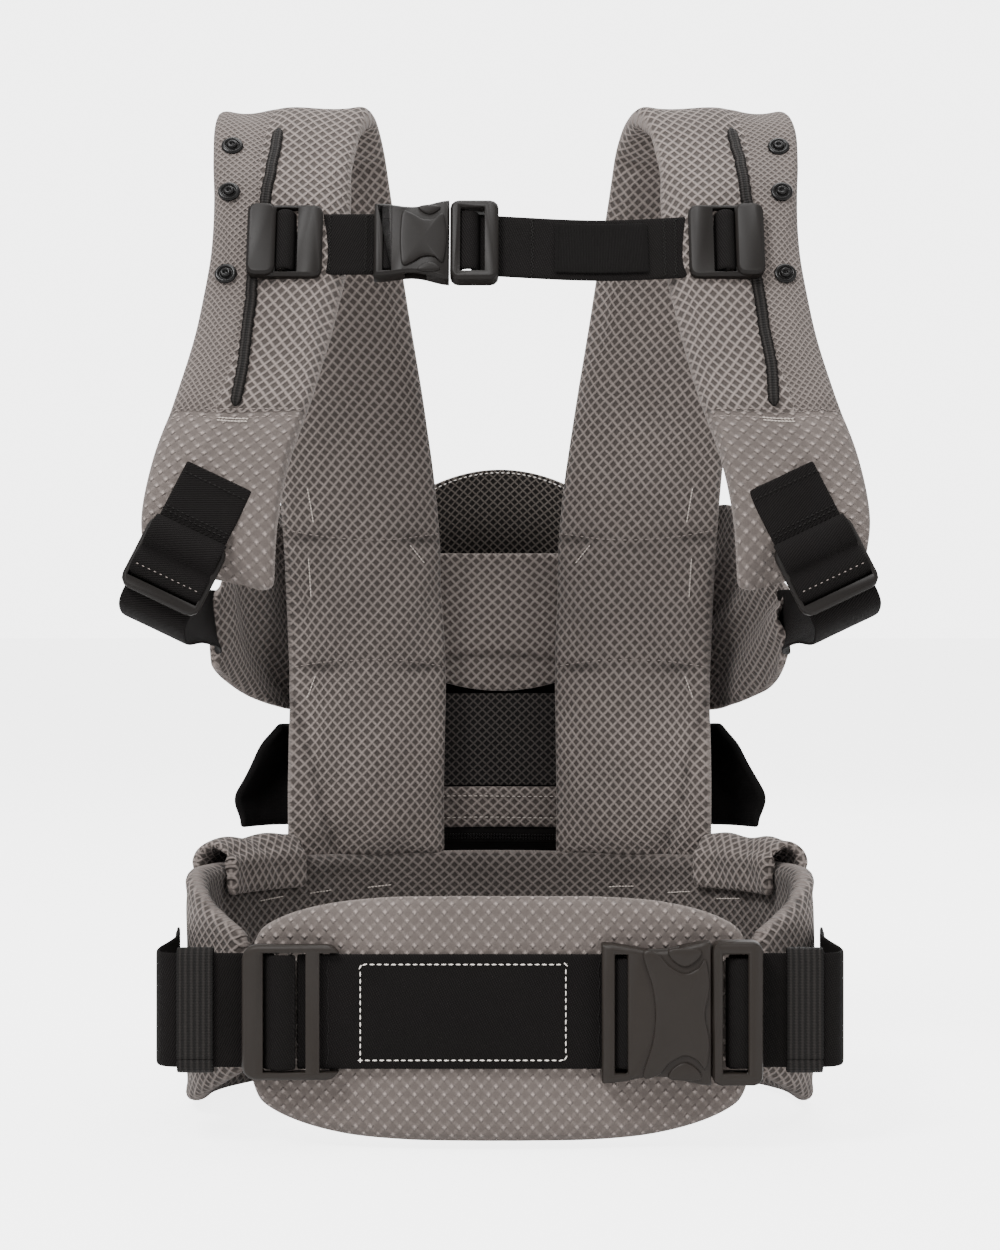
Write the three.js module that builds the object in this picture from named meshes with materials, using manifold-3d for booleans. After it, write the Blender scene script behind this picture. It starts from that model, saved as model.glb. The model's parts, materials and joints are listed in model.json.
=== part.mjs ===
// Soft baby carrier: a shoulder harness with a waist belt, and an outer panel that holds the baby.
// Millimetres, +Z up. The wearer faces +Y, so the wearer's left is -X and the buckles at the back face -Y.
import * as THREE from 'three';
import Module from 'manifold-3d';

const wasm = await Module();
wasm.setup();

// ---- driving sizes ----
const GAP = 0.4;
const FRAME_SHIFT_Y = -20; // moves the finished model so that its box is centred front to back

const BELT_TOP = 113;
const BELT_THICK = 12;
const BELT_HALF_WIDTH = 143;
const BELT_HALF_DEPTH = 94;
const BELT_CENTRE_Y = -6;
const BELT_END_ANGLE = 38; // degrees past the sides at which the padded belt stops

const LUMBAR_HALF_WIDTH = 110;
const LUMBAR_HALF_HEIGHT = 56;
const LUMBAR_THICK = 14;
const LUMBAR_Y = -98;

const STRAP_THICK = 11;
const STRAP_SLOPE = 0.352; // how far the strap leans back for each millimetre that it drops
const RIGHT_STRAP_SPREAD = 5; // the right strap sits this much further out at the back

const CHEST_Z = 398;
const CHEST_Y = -53.5;
const RAIL_X = 110; // distance of the rail from the middle plane at chest height
const RAIL_LEAN = 0.092;
const RAIL_WIDTH = 5;
const RAIL_THICK = 2.2;
const CHEST_WEB = 31;
const CHEST_WEB_OUT = 1.6; // middle of the chest webbing, above the strap face

const WAIST_Z = 60;
const WAIST_WEB = 50;
const WAIST_WEB_Y = -110;
const TAIL_Y = -105.8;
const WEB_THICK = 1.8;

const PANEL_HALF_WIDTH = 138;
const PANEL_CENTRE_Y = 20;
const PANEL_DEPTH = 135; // bulge of the outer panel at the baby's back
const PANEL_DEPTH_LOW = 82; // and where it lies on the belt
const PANEL_DEPTH_TOP = 127;
const PANEL_BOTTOM = 22;
const PANEL_TOP = 262;
const PANEL_THICK = 6;
const PANEL_EDGE = 42; // degrees round from the middle to the side seam
const LINING_THICK = 1.5;

const HEAD_TOP = 312;
const HEAD_EDGE = 33;
const HEAD_THICK = 5;

const LOCK_WIDTH = 37;
const LOCK_LENGTH = 34;
const LOCK_THICK = 5;
const LOCK_WEB = 32;

const LEFT = -1;
const RIGHT = 1;
const Z_UP = new THREE.Vector3(0, 0, 1);

// ---- small geometry tools ----
const vec = (x, y, z) => new THREE.Vector3(x, y, z);
const radians = THREE.MathUtils.degToRad;
const mix = THREE.MathUtils.lerp;

function signedVolume(points, triangles) {
  let volume = 0;
  for (const [a, b, c] of triangles) {
    volume += points[a].dot(new THREE.Vector3().crossVectors(points[b], points[c])) / 6;
  }
  return volume;
}

// A closed mesh from points and triangles, turned to face outward.
function solid(points, triangles) {
  const flip = signedVolume(points, triangles) < 0;
  const faces = flip ? triangles.map(([a, b, c]) => [a, c, b]) : triangles;
  const geometry = new THREE.BufferGeometry();
  geometry.setAttribute('position', new THREE.Float32BufferAttribute(points.flatMap((p) => p.toArray()), 3));
  geometry.setIndex(faces.flat());
  geometry.computeVertexNormals();
  return geometry;
}

// Joins rings of equal length into one closed body with flat ends.
function loft(rings) {
  const count = rings[0].length;
  const points = rings.flat();
  const triangles = [];
  for (let r = 0; r + 1 < rings.length; r += 1) {
    for (let i = 0; i < count; i += 1) {
      const j = (i + 1) % count;
      const a = r * count + i;
      const b = r * count + j;
      triangles.push([a, b, b + count], [a, b + count, a + count]);
    }
  }
  const last = (rings.length - 1) * count;
  for (let i = 1; i + 1 < count; i += 1) {
    triangles.push([0, i + 1, i], [last, last + i, last + i + 1]);
  }
  return solid(points, triangles);
}

// A flat section with chamfered long edges: `half` across and `thick` through.
function stripSection(half, thick, chamfer) {
  const t = thick / 2;
  const c = Math.min(chamfer, t * 0.8);
  if (chamfer === 0) return [[half, t], [-half, t], [-half, -t], [half, -t]];
  return [
    [half, t - c], [half - c, t], [-half + c, t], [-half, t - c],
    [-half, -t + c], [-half + c, -t], [half - c, -t], [half, -t + c],
  ];
}

// Stations are { at, across, out, half }; `across` is the strip's width and `out` its face normal.
function strip(stations, thick, chamfer = 0) {
  return loft(stations.map(({ at, across, out, half }) => (
    stripSection(half, thick, chamfer).map(([u, w]) => (
      at.clone().addScaledVector(across, u).addScaledVector(out, w)
    ))
  )));
}

// Webbing along a route: `across(t)` gives its width direction at each share t of the route.
function webbing(route, width, across, count) {
  const curve = new THREE.CatmullRomCurve3(route, false, 'centripetal');
  const stations = [];
  for (let i = 0; i <= count; i += 1) {
    const t = i / count;
    const tangent = curve.getTangent(t);
    const side = across(t).clone();
    side.addScaledVector(tangent, -side.dot(tangent)).normalize();
    const out = new THREE.Vector3().crossVectors(tangent, side);
    stations.push({ at: curve.getPoint(t), across: side, out, half: width / 2 });
  }
  return strip(stations, WEB_THICK);
}

// A curved panel of even thickness about the surface (u, v) -> point, with u and v from 0 to 1.
function panel(surface, columns, rows, thick) {
  const normalAt = (u, v) => {
    const step = 0.002;
    const along = surface(u + step, v).sub(surface(u - step, v));
    const up = surface(u, v + step).sub(surface(u, v - step));
    return along.cross(up).normalize();
  };
  const points = [];
  for (const side of [1, -1]) {
    for (let j = 0; j <= rows; j += 1) {
      for (let i = 0; i <= columns; i += 1) {
        const u = i / columns;
        const v = j / rows;
        points.push(surface(u, v).addScaledVector(normalAt(u, v), (side * thick) / 2));
      }
    }
  }
  const width = columns + 1;
  const sheet = width * (rows + 1);
  const triangles = [];
  for (let j = 0; j < rows; j += 1) {
    for (let i = 0; i < columns; i += 1) {
      const a = j * width + i;
      triangles.push([a, a + 1, a + width + 1], [a, a + width + 1, a + width]);
      triangles.push([a + sheet, a + sheet + width + 1, a + sheet + 1]);
      triangles.push([a + sheet, a + sheet + width, a + sheet + width + 1]);
    }
  }
  const rim = [];
  for (let i = 0; i < columns; i += 1) rim.push(i);
  for (let j = 0; j < rows; j += 1) rim.push(j * width + columns);
  for (let i = columns; i > 0; i -= 1) rim.push(rows * width + i);
  for (let j = rows; j > 0; j -= 1) rim.push(j * width);
  rim.forEach((a, k) => {
    const b = rim[(k + 1) % rim.length];
    triangles.push([a, a + sheet, b + sheet], [a, b + sheet, b]);
  });
  return solid(points, triangles);
}

// ---- solid operations ----
function toManifold(geometry) {
  const source = geometry.index ? geometry : geometry.clone();
  const position = source.getAttribute('position');
  const seen = new Map();
  const merged = [];
  const remap = [];
  for (let i = 0; i < position.count; i += 1) {
    const p = [position.getX(i), position.getY(i), position.getZ(i)];
    const key = p.map((value) => value.toFixed(4)).join(',');
    if (!seen.has(key)) {
      seen.set(key, merged.length / 3);
      merged.push(...p);
    }
    remap.push(seen.get(key));
  }
  const index = source.index ? [...source.index.array] : remap.map((_, i) => i);
  const corners = index.map((i) => remap[i]);
  const kept = [];
  for (let i = 0; i < corners.length; i += 3) {
    const [a, b, c] = corners.slice(i, i + 3);
    if (a !== b && b !== c && c !== a) kept.push(a, b, c);
  }
  const mesh = new wasm.Mesh({
    numProp: 3,
    vertProperties: new Float32Array(merged),
    triVerts: new Uint32Array(kept),
  });
  return new wasm.Manifold(mesh);
}

function fromManifold(body) {
  const mesh = body.getMesh();
  const geometry = new THREE.BufferGeometry();
  geometry.setAttribute('position', new THREE.Float32BufferAttribute([...mesh.vertProperties], 3));
  geometry.setIndex([...mesh.triVerts]);
  geometry.computeVertexNormals();
  return geometry;
}

function combine(base, added, removed) {
  let body = toManifold(base);
  for (const geometry of added) body = body.add(toManifold(geometry));
  for (const geometry of removed) body = body.subtract(toManifold(geometry));
  return fromManifold(body);
}

// A box from one corner to the other.
function box(low, high) {
  const size = high.map((value, i) => value - low[i]);
  const geometry = new THREE.BoxGeometry(...size);
  geometry.translate(...high.map((value, i) => (value + low[i]) / 2));
  return geometry;
}

// A flat outline in (x, y), extruded evenly about z = 0.
function plate(outline, thick, bevel = 0) {
  const shape = new THREE.Shape(outline.map(([x, y]) => new THREE.Vector2(x, y)));
  const geometry = new THREE.ExtrudeGeometry(shape, {
    depth: thick - 2 * bevel,
    bevelEnabled: bevel > 0,
    bevelThickness: bevel,
    bevelSize: bevel,
    bevelOffset: -bevel,
    bevelSegments: 1,
    steps: 1,
  });
  geometry.translate(0, 0, -(thick / 2 - bevel));
  return geometry;
}

function roundedRectangle(halfX, halfY, radius, steps = 3) {
  const points = [];
  const corners = [[1, -1, -90], [1, 1, 0], [-1, 1, 90], [-1, -1, 180]];
  for (const [sx, sy, start] of corners) {
    for (let i = 0; i <= steps; i += 1) {
      const angle = radians(start + (90 * i) / steps);
      points.push([
        sx * (halfX - radius) + radius * Math.cos(angle),
        sy * (halfY - radius) + radius * Math.sin(angle),
      ]);
    }
  }
  return points;
}

// ---- frames that the hardware is built in ----
// Waist hardware: x along the belt, y up, z out of the wearer's back.
const waistFrame = new THREE.Matrix4()
  .makeBasis(vec(1, 0, 0), vec(0, 0, 1), vec(0, -1, 0))
  .setPosition(0, WAIST_WEB_Y, WAIST_Z);

// Chest hardware lies on the sloping faces of the two straps.
const slopeLength = Math.hypot(1, STRAP_SLOPE);
const chestUp = vec(0, STRAP_SLOPE / slopeLength, 1 / slopeLength);
const chestOut = vec(0, -1 / slopeLength, STRAP_SLOPE / slopeLength);
const chestFrame = new THREE.Matrix4()
  .makeBasis(vec(1, 0, 0), chestUp, chestOut)
  .setPosition(vec(0, CHEST_Y, CHEST_Z).addScaledVector(chestOut, STRAP_THICK / 2));

// Each ladder lock hangs from the end of its strap, turned outward.
function lockFrame(side) {
  const down = vec(side * 0.42, -0.2, -0.88).normalize();
  const across = vec(1, 0, side * 0.46).normalize();
  across.addScaledVector(down, -across.dot(down)).normalize();
  const up = down.clone().negate();
  const out = new THREE.Vector3().crossVectors(across, up);
  return new THREE.Matrix4().makeBasis(across, up, out).setPosition(side * 131, -103, 275);
}

// ---- soft parts ----
function beltPoint(degrees, offset) {
  const angle = radians(degrees);
  const x = BELT_HALF_WIDTH * Math.cos(angle);
  const y = BELT_HALF_DEPTH * Math.sin(angle);
  const out = vec(x / BELT_HALF_WIDTH ** 2, y / BELT_HALF_DEPTH ** 2, 0).normalize();
  return { at: vec(x, y + BELT_CENTRE_Y, 0).addScaledVector(out, offset), out };
}

function waistBelt() {
  const stations = [];
  const count = 30;
  for (let i = 0; i <= count; i += 1) {
    const degrees = mix(-BELT_END_ANGLE, 180 + BELT_END_ANGLE, i / count);
    const past = Math.max(0, -degrees, degrees - 180) / BELT_END_ANGLE;
    const top = mix(BELT_TOP, 88, past ** 1.3);
    const bottom = mix(0, 26, past ** 1.6);
    const { at, out } = beltPoint(degrees, 0);
    at.z = (top + bottom) / 2;
    stations.push({ at, across: Z_UP, out, half: (top - bottom) / 2 });
  }
  return strip(stations, BELT_THICK, 2);
}

function lumbarPad() {
  const stations = [];
  const count = 18;
  for (let i = 0; i <= count; i += 1) {
    const x = mix(-LUMBAR_HALF_WIDTH, LUMBAR_HALF_WIDTH, i / count);
    const share = Math.abs(x) / LUMBAR_HALF_WIDTH;
    const half = 32 + (LUMBAR_HALF_HEIGHT - 32) * (1 - share ** 3) ** 0.6;
    const at = vec(x, LUMBAR_Y + 8 * share ** 3, LUMBAR_HALF_HEIGHT);
    const turn = Math.sign(x) * share ** 2 * 0.21;
    stations.push({ at, across: Z_UP, out: vec(Math.sin(turn), -Math.cos(turn), 0), half });
  }
  return strip(stations, LUMBAR_THICK, 3);
}

// Middle line of a shoulder strap, from the belt at the front over the shoulder to its end at the back:
// distance out, y, z, half width and the turn of its width away from X.
const strapLine = [
  [67.5, 77, 114.4, 43.5, 19],
  [67.5, 78, 160, 43.5, 19],
  [67.5, 79, 205, 43.5, 18],
  [70, 78, 255, 43.5, 17],
  [73, 74, 300, 43, 14],
  [78, 66, 345, 42, 10],
  [84, 54, 388, 40.5, 6],
  [89, 38, 428, 39, 3],
  [93, 16, 459, 38.5, 0],
  [96, -4, 470, 37.5, 0],
  [99, -22, 461, 35.5, 0],
  [101, -37, 442, 33.5, 0],
  [101, -44, 425, 33.3, 0],
  [101.5, CHEST_Y, CHEST_Z, 33.4, 0],
  [104, -61.24, 376, 33.5, 0],
  [107.6, -68.64, 355, 33.5, 0],
  [115, -78.14, 328, 31, 0],
  [125, -88, 300, 27, 0],
  [129.5, -95.5, 272, 26.5, 0], [128, -97.5, 251, 24.5, 0],
];

function strapStation(side, t) {
  const curve = (pick) => new THREE.CatmullRomCurve3(strapLine.map(pick), false, 'catmullrom', 0.5);
  const middle = curve(([x, y, z]) => vec(x, y, z)).getPoint(t);
  const tangent = curve(([, y, z]) => vec(0, y, z)).getTangent(t);
  const shape = curve(([, , , half, turn]) => vec(half, turn, 0)).getPoint(t);
  const back = THREE.MathUtils.smoothstep(-middle.y, -20, 30);
  const spread = side === RIGHT ? RIGHT_STRAP_SPREAD * back : 0;
  const turn = radians(shape.y);
  const across = vec(Math.cos(turn), -side * Math.sin(turn), 0);
  const out = new THREE.Vector3().crossVectors(tangent, across).normalize();
  return { at: vec(side * (middle.x + spread), middle.y, middle.z), across, out, half: shape.x };
}

function shoulderStrap(side) {
  const stations = [];
  const count = 32;
  for (let i = 0; i <= count; i += 1) stations.push(strapStation(side, i / count));
  return strip(stations, STRAP_THICK, 3);
}

// The share of the strap's line at which it is at height z on the back.
function strapShareAt(z) {
  let low = 9.5 / (strapLine.length - 1);
  let high = 1;
  for (let i = 0; i < 40; i += 1) {
    const middle = (low + high) / 2;
    if (strapStation(LEFT, middle).at.z > z) low = middle;
    else high = middle;
  }
  return low;
}

// A point over the outer face of a strap at the back, `out` above the face.
function onStrap(side, x, z, out) {
  const station = strapStation(side, strapShareAt(z));
  const at = station.at.clone().addScaledVector(station.out, STRAP_THICK / 2 + out);
  at.x = side * x;
  return { ...station, at };
}

function railReach(side, z) {
  const spread = side === RIGHT ? RIGHT_STRAP_SPREAD : 0;
  return RAIL_X + spread + (CHEST_Z - z) * RAIL_LEAN;
}

function chestRail(side) {
  const stations = [];
  const count = 14;
  for (let i = 0; i <= count; i += 1) {
    const z = mix(458, 322, i / count);
    const station = onStrap(side, railReach(side, z), z, GAP + RAIL_THICK / 2);
    stations.push({ ...station, half: RAIL_WIDTH / 2 });
  }
  return strip(stations, RAIL_THICK);
}

function snap(side, z) {
  const spread = side === RIGHT ? RIGHT_STRAP_SPREAD : 0;
  const { at, out } = onStrap(side, 124 + spread, z, GAP);
  const profile = [[0, 0], [5, 0], [5, 1.6], [3.6, 2.6], [2.4, 2.6], [1.8, 1.4], [0, 1.4]];
  const geometry = new THREE.LatheGeometry(profile.map(([r, h]) => new THREE.Vector2(r, h)), 12);
  geometry.applyQuaternion(new THREE.Quaternion().setFromUnitVectors(vec(0, 1, 0), out));
  geometry.translate(at.x, at.y, at.z);
  return geometry;
}

// Bulge of the outer panel at height z.
function panelDepth(z) {
  const low = mix(PANEL_DEPTH_LOW, PANEL_DEPTH, THREE.MathUtils.smoothstep(z, 60, 170));
  return mix(low, PANEL_DEPTH_TOP, THREE.MathUtils.smoothstep(z, 200, 290));
}

function panelPoint(degrees, z, inward) {
  const angle = radians(degrees);
  const reach = PANEL_HALF_WIDTH - inward;
  const depth = panelDepth(z) - inward;
  return vec(reach * Math.sin(angle), PANEL_CENTRE_Y + depth * Math.cos(angle), z);
}

function outerPanel(inward, thick, trim) {
  const surface = (u, v) => {
    const degrees = mix(-PANEL_EDGE + trim, PANEL_EDGE - trim, u);
    return panelPoint(degrees, mix(PANEL_BOTTOM + 2 * trim, PANEL_TOP - 2 * trim, v), inward);
  };
  return panel(surface, 10, 10, thick);
}

function sidePanel(side) {
  const surface = (u, v) => {
    const bottom = mix(177, 213, Math.max(u, 0) ** 1.6);
    const top = mix(276, 245, Math.max(u, 0) ** 1.4);
    return panelPoint(side * mix(PANEL_EDGE + 1.4, 88, u), mix(bottom, top, v), 0);
  };
  return panel(surface, 8, 4, 4);
}

function legWing(side) {
  const surface = (u, v) => {
    const z = mix(123, 176, v);
    const inner = panelPoint(side * (PANEL_EDGE + 1.4), z, 0);
    const outer = vec(side * mix(145, 117, v), mix(80, 98, v), z);
    const bulge = Math.sin(Math.PI * u) * 5;
    return inner.lerp(outer, u).add(vec(side * bulge * 0.5, bulge, 0));
  };
  return panel(surface, 6, 4, 3.4);
}

function legTab(side) {
  const surface = (u, v) => {
    const x = mix(106, 146, u);
    const y = BELT_CENTRE_Y + 110 * Math.sqrt(1 - (x / 158) ** 2);
    return vec(side * x, y, mix(92, 121.5, v));
  };
  return panel(surface, 6, 2, 5);
}

// The narrow pieces between the two shoulder straps at the wearer's chest, one above another.
function chestPiece(bottom, top, thick, arch = 0) {
  const surface = (u, v) => {
    const x = mix(-48, 48, u);
    const y = BELT_CENTRE_Y + 108 * Math.sqrt(1 - (x / 152) ** 2);
    const dip = arch * (1 - (x / 48) ** 2);
    return vec(x, y, mix(bottom + dip, top, v));
  };
  return panel(surface, 8, 2, thick);
}

function headSupport(inward, thick, trim) {
  const bottom = PANEL_TOP + 1;
  const surface = (u, v) => {
    const degrees = mix(-HEAD_EDGE + trim, HEAD_EDGE - trim, u);
    const top = HEAD_TOP - trim - 55 * (degrees / 38) ** 2;
    const z = mix(bottom + trim / 2, Math.max(top, bottom + 6), v);
    const point = panelPoint(degrees, z, inward);
    point.y -= (z - bottom) * 0.1;
    return point;
  };
  return panel(surface, 14, 4, thick);
}

// ---- webbing ----
function waistWebbing() {
  const route = [-88, 0, 53.5].map((x) => vec(x, WAIST_WEB_Y, WAIST_Z));
  return webbing(route, WAIST_WEB, () => Z_UP, 4);
}

function beltWebbingLeft() {
  const plan = [
    [-98, TAIL_Y], [-120, TAIL_Y], [-141, TAIL_Y], [-147, -103], [-150, -96],
    [-150.5, -84], [-149, -66], [-148.4, -48], [-150, -32], [-152, -15],
  ];
  return webbing(plan.map(([x, y]) => vec(x, y, WAIST_Z)), WAIST_WEB, () => Z_UP, 20);
}

function beltWebbingRight() {
  const plan = [
    [99, WAIST_WEB_Y], [113, WAIST_WEB_Y], [120, -107.6], [126, TAIL_Y], [134, TAIL_Y], [142, TAIL_Y],
    [147.5, -103], [150.2, -96], [150.5, -84], [149, -66], [148.4, -48], [150, -32], [152, -15],
  ];
  return webbing(plan.map(([x, y]) => vec(x, y, WAIST_Z)), WAIST_WEB, () => Z_UP, 24);
}

function strapTab(side) {
  const frame = lockFrame(side);
  return box([-LOCK_WEB / 2, -7.6, -0.9], [LOCK_WEB / 2, 20, 0.9]).applyMatrix4(frame);
}

function adjusterWebbing(side) {
  const frame = lockFrame(side);
  const start = vec(0, -37, -4).applyMatrix4(frame);
  const turn = vec(0, -47, -7).applyMatrix4(frame);
  const across = vec(1, 0, 0).transformDirection(frame);
  const upright = vec(side * -0.1, 0, side).normalize();
  const route = [
    start,
    turn,
    vec(side * 152, -88, 226),
    vec(side * 147, -62, 228),
    vec(side * 141, -25, 229),
    vec(side * 138.4, 24, 229),
  ];
  return webbing(route, LOCK_WEB, (t) => across.clone().lerp(upright, Math.min(1, t * 1.6)), 16);
}

// The short end of the chest webbing turns up through the slider's window.
function chestWebbingLeft() {
  const plan = [[-50.5, CHEST_WEB_OUT], [-70, CHEST_WEB_OUT], [-91, CHEST_WEB_OUT], [-97, 3], [-98, 6]];
  const route = plan.map(([x, out]) => vec(x, 0, out).applyMatrix4(chestFrame));
  return webbing(route, CHEST_WEB, () => chestUp, 10);
}

function chestWebbingRight() {
  const flat = [-12, 0, 45, 96].map((x) => [x, CHEST_WEB_OUT]);
  const plan = [...flat, [102, 3], [103, 6]];
  const route = plan.map(([x, out]) => vec(x, 0, out).applyMatrix4(chestFrame));
  return webbing(route, CHEST_WEB, () => chestUp, 12);
}

function labelPatch() {
  return plate(roundedRectangle(21, 12.5, 2), 0.9).applyMatrix4(
    new THREE.Matrix4().makeTranslation(46, 0, CHEST_WEB_OUT + WEB_THICK / 2 + GAP + 0.45).premultiply(chestFrame),
  );
}

// ---- hardware ----
// Buckle sizes: `mouth` is the socket's length, `tailHigh`, `neckHigh` and `mouthHigh` are half heights along it.
const waistBuckle = {
  frame: waistFrame, start: 44, mouth: 47, tailHigh: 30, neckHigh: 27, mouthHigh: 31, thick: 11.5, out: 2.25,
  webWidth: WAIST_WEB, bar: 5.5, slot: 11, cavity: 14.5, cavityHigh: 25, cavityDeep: 3.2,
  padStart: 20, padEnd: 34, plugLength: 22, plugSlot: [5, 16], armAt: 20, armHigh: 2.6,
};
const chestBuckle = {
  frame: chestFrame, start: -57, mouth: 34, tailHigh: 18.2, neckHigh: 16.6, mouthHigh: 20, thick: 9, out: 3,
  webWidth: CHEST_WEB, bar: 4, slot: 8, cavity: 10, cavityHigh: 15, cavityDeep: 2.4,
  padStart: 14, padEnd: 24, plugLength: 22, plugSlot: [5, 16], armAt: 11.6, armHigh: 2,
};

function inBuckle(buckle, geometry) {
  geometry.translate(buckle.start, 0, buckle.out);
  return geometry.applyMatrix4(buckle.frame);
}

// Room for the webbing behind a cross bar.
function webRoom(buckle, from, to) {
  const webTop = (buckle.frame === waistFrame ? 0 : CHEST_WEB_OUT) + WEB_THICK / 2 + GAP - buckle.out;
  const high = buckle.webWidth / 2 + 0.7;
  return box([from, -high, -buckle.thick], [to, high, webTop]);
}

function socket(buckle) {
  const { mouth, tailHigh, neckHigh, mouthHigh, thick, cavityHigh, cavityDeep, padStart, padEnd } = buckle;
  const upper = [];
  const steps = 10;
  for (let i = 0; i <= steps; i += 1) {
    const share = i / steps;
    const dip = Math.sin(Math.PI * share) ** 2;
    upper.push([mouth * share, mix(mix(tailHigh, mouthHigh, share), neckHigh, dip)]);
  }
  const outline = [...upper.map(([x, h]) => [x, -h]), ...upper.reverse()];
  const high = buckle.webWidth / 2 + 0.7;
  return inBuckle(buckle, combine(plate(outline, thick, 1.2), [], [
    webRoom(buckle, -1, buckle.slot),
    box([buckle.bar, -high, -thick], [buckle.slot, high, thick]),
    box([buckle.cavity, -cavityHigh, -cavityDeep], [mouth + 1, cavityHigh, cavityDeep]),
    box([padStart, -mouthHigh - 1, -cavityDeep], [padEnd, mouthHigh + 1, cavityDeep]),
  ]));
}

function plug(buckle) {
  const { mouth, mouthHigh, thick, plugLength, plugSlot } = buckle;
  const body = plate(roundedRectangle(plugLength / 2, mouthHigh, 4), thick, 1.2);
  body.translate(mouth + GAP + plugLength / 2, 0, 0);
  const high = buckle.webWidth / 2 + 0.7;
  return inBuckle(buckle, combine(body, [], [
    box([mouth + plugSlot[0], -high, -thick], [mouth + plugSlot[1], high, thick]),
    webRoom(buckle, mouth + plugSlot[1] - 1, mouth + plugLength + 2),
  ]));
}

// A spring arm of the plug with its round press pad; `way` is +1 for the upper arm.
function prong(buckle, way) {
  const { mouth, cavity, cavityHigh, cavityDeep, padStart, padEnd, armAt, armHigh } = buckle;
  const outline = [[cavity + 2, armAt - armHigh], [mouth - 0.3, armAt - armHigh], [mouth - 0.3, armAt + armHigh]];
  const steps = 6;
  for (let i = 0; i <= steps; i += 1) {
    const angle = (Math.PI * i) / steps;
    const x = (padStart + padEnd) / 2 + ((padEnd - padStart) / 2 - 1) * Math.cos(angle);
    outline.push([x, armAt + armHigh + (cavityHigh - 0.5 - armAt - armHigh) * Math.sin(angle)]);
  }
  outline.push([cavity + 2, armAt + armHigh - 1]);
  const geometry = plate(outline, 2 * cavityDeep - 2 * GAP);
  if (way < 0) geometry.rotateX(Math.PI);
  return inBuckle(buckle, geometry);
}

// Slider that runs on a chest rail: a channelled outer bar, a window and an inner bar for the webbing.
function chestSlider(side) {
  const spread = side === RIGHT ? RIGHT_STRAP_SPREAD : 0;
  const centre = side * (97.5 + spread);
  const frameBody = plate(roundedRectangle(17, 18, 4), 5.4, 1).translate(centre, 0, 3.6);
  const spine = plate(roundedRectangle(6.4, 18, 4), 8, 1.2).translate(side * (108 + spread), 0, 4.6);
  const window = box([-5, -16.2, -1], [5, 16.2, 12]).translate(side * (96.6 + spread), 0, 0);
  const webbingRoom = box([-9.5, -16.2, -1], [8, 16.2, CHEST_WEB_OUT + WEB_THICK / 2 + GAP]);
  webbingRoom.translate(side * (88.5 + spread), 0, 0);
  const channel = box([-RAIL_WIDTH / 2 - 1, -30, -1], [RAIL_WIDTH / 2 + 1, 30, GAP + RAIL_THICK + 0.7]);
  channel.rotateZ(side * Math.atan(RAIL_LEAN / slopeLength));
  channel.translate(side * railReach(LEFT, CHEST_Z) + side * spread, 0, 0);
  return combine(frameBody, [spine], [window, webbingRoom, channel]).applyMatrix4(chestFrame);
}

// Flat frame with one cross bar in front of the webbing and one end bar behind it.
function triglide() {
  const body = plate(roundedRectangle(21.2, 29.2, 6), 7, 1.2).translate(-90.4, 0, 0.6);
  const high = WAIST_WEB / 2 + 0.9;
  const back = WEB_THICK / 2 + GAP;
  return combine(body, [], [
    box([-102.5, -high, -9], [-84, high, 9]),
    box([-78, -high, -9], [-74, high, 9]),
    box([-85, -high, -9], [-77, high, back]),
    box([-75, -high, -back], [-60, high, 9]),
  ]).applyMatrix4(waistFrame);
}

function triglideLoop() {
  const geometry = plate(roundedRectangle(4.2, 2.6, 2.4), WAIST_WEB);
  geometry.rotateX(Math.PI / 2);
  geometry.translate(-97.4, 0, 0.6);
  return geometry.applyMatrix4(waistFrame);
}

// Elastic band that holds the webbing's free end: a flat tube round it.
function keeper(side) {
  const centre = waistLocal(side * 132.5);
  const outer = plate(roundedRectangle(3.6, 28, 2.5), 16).rotateY(Math.PI / 2);
  const inner = box([-20, -WAIST_WEB / 2 - 1.2, -1.9], [20, WAIST_WEB / 2 + 1.2, 1.9]);
  return combine(outer, [], [inner]).translate(...centre).applyMatrix4(waistFrame);
}

function waistLocal(x) {
  return [x, 0, WAIST_WEB_Y - TAIL_Y];
}

function ladderLock(side) {
  const body = plate(roundedRectangle(LOCK_WIDTH / 2, LOCK_LENGTH / 2, 5), LOCK_THICK, 1);
  body.translate(0, -8 - LOCK_LENGTH / 2, 0);
  const high = 16.4;
  return combine(body, [], [
    box([-high, -17, -9], [high, -12.5, 9]),
    box([-high, -27, -9], [high, -20.5, 9]),
    box([-high, -37, -9], [high, -31.5, 9]),
  ]).applyMatrix4(lockFrame(side));
}

// The webbing that climbs over the lock's middle bar.
function lockRoll(side) {
  const geometry = plate(roundedRectangle(2.6, 2.2, 2), LOCK_WEB);
  geometry.rotateY(Math.PI / 2);
  geometry.translate(0, -23.8, 0.6);
  return geometry.applyMatrix4(lockFrame(side));
}

// ---- materials ----
const material = (color, roughness, metalness = 0) => new THREE.MeshStandardMaterial({ color, roughness, metalness });
const greyMesh = material('#8a8078', 0.9);
const darkMesh = material('#6f6862', 0.9);
const blackLining = material('#121010', 0.95);
const blackMesh = material('#1c1a19', 0.9);
const blackWeb = material('#1b1918', 0.8);
const elastic = material('#221d1a', 0.85);
const chestPlastic = material('#2f2b29', 0.45);
const waistPlastic = material('#45403c', 0.45);
const snapPlastic = material('#151413', 0.4);

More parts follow.
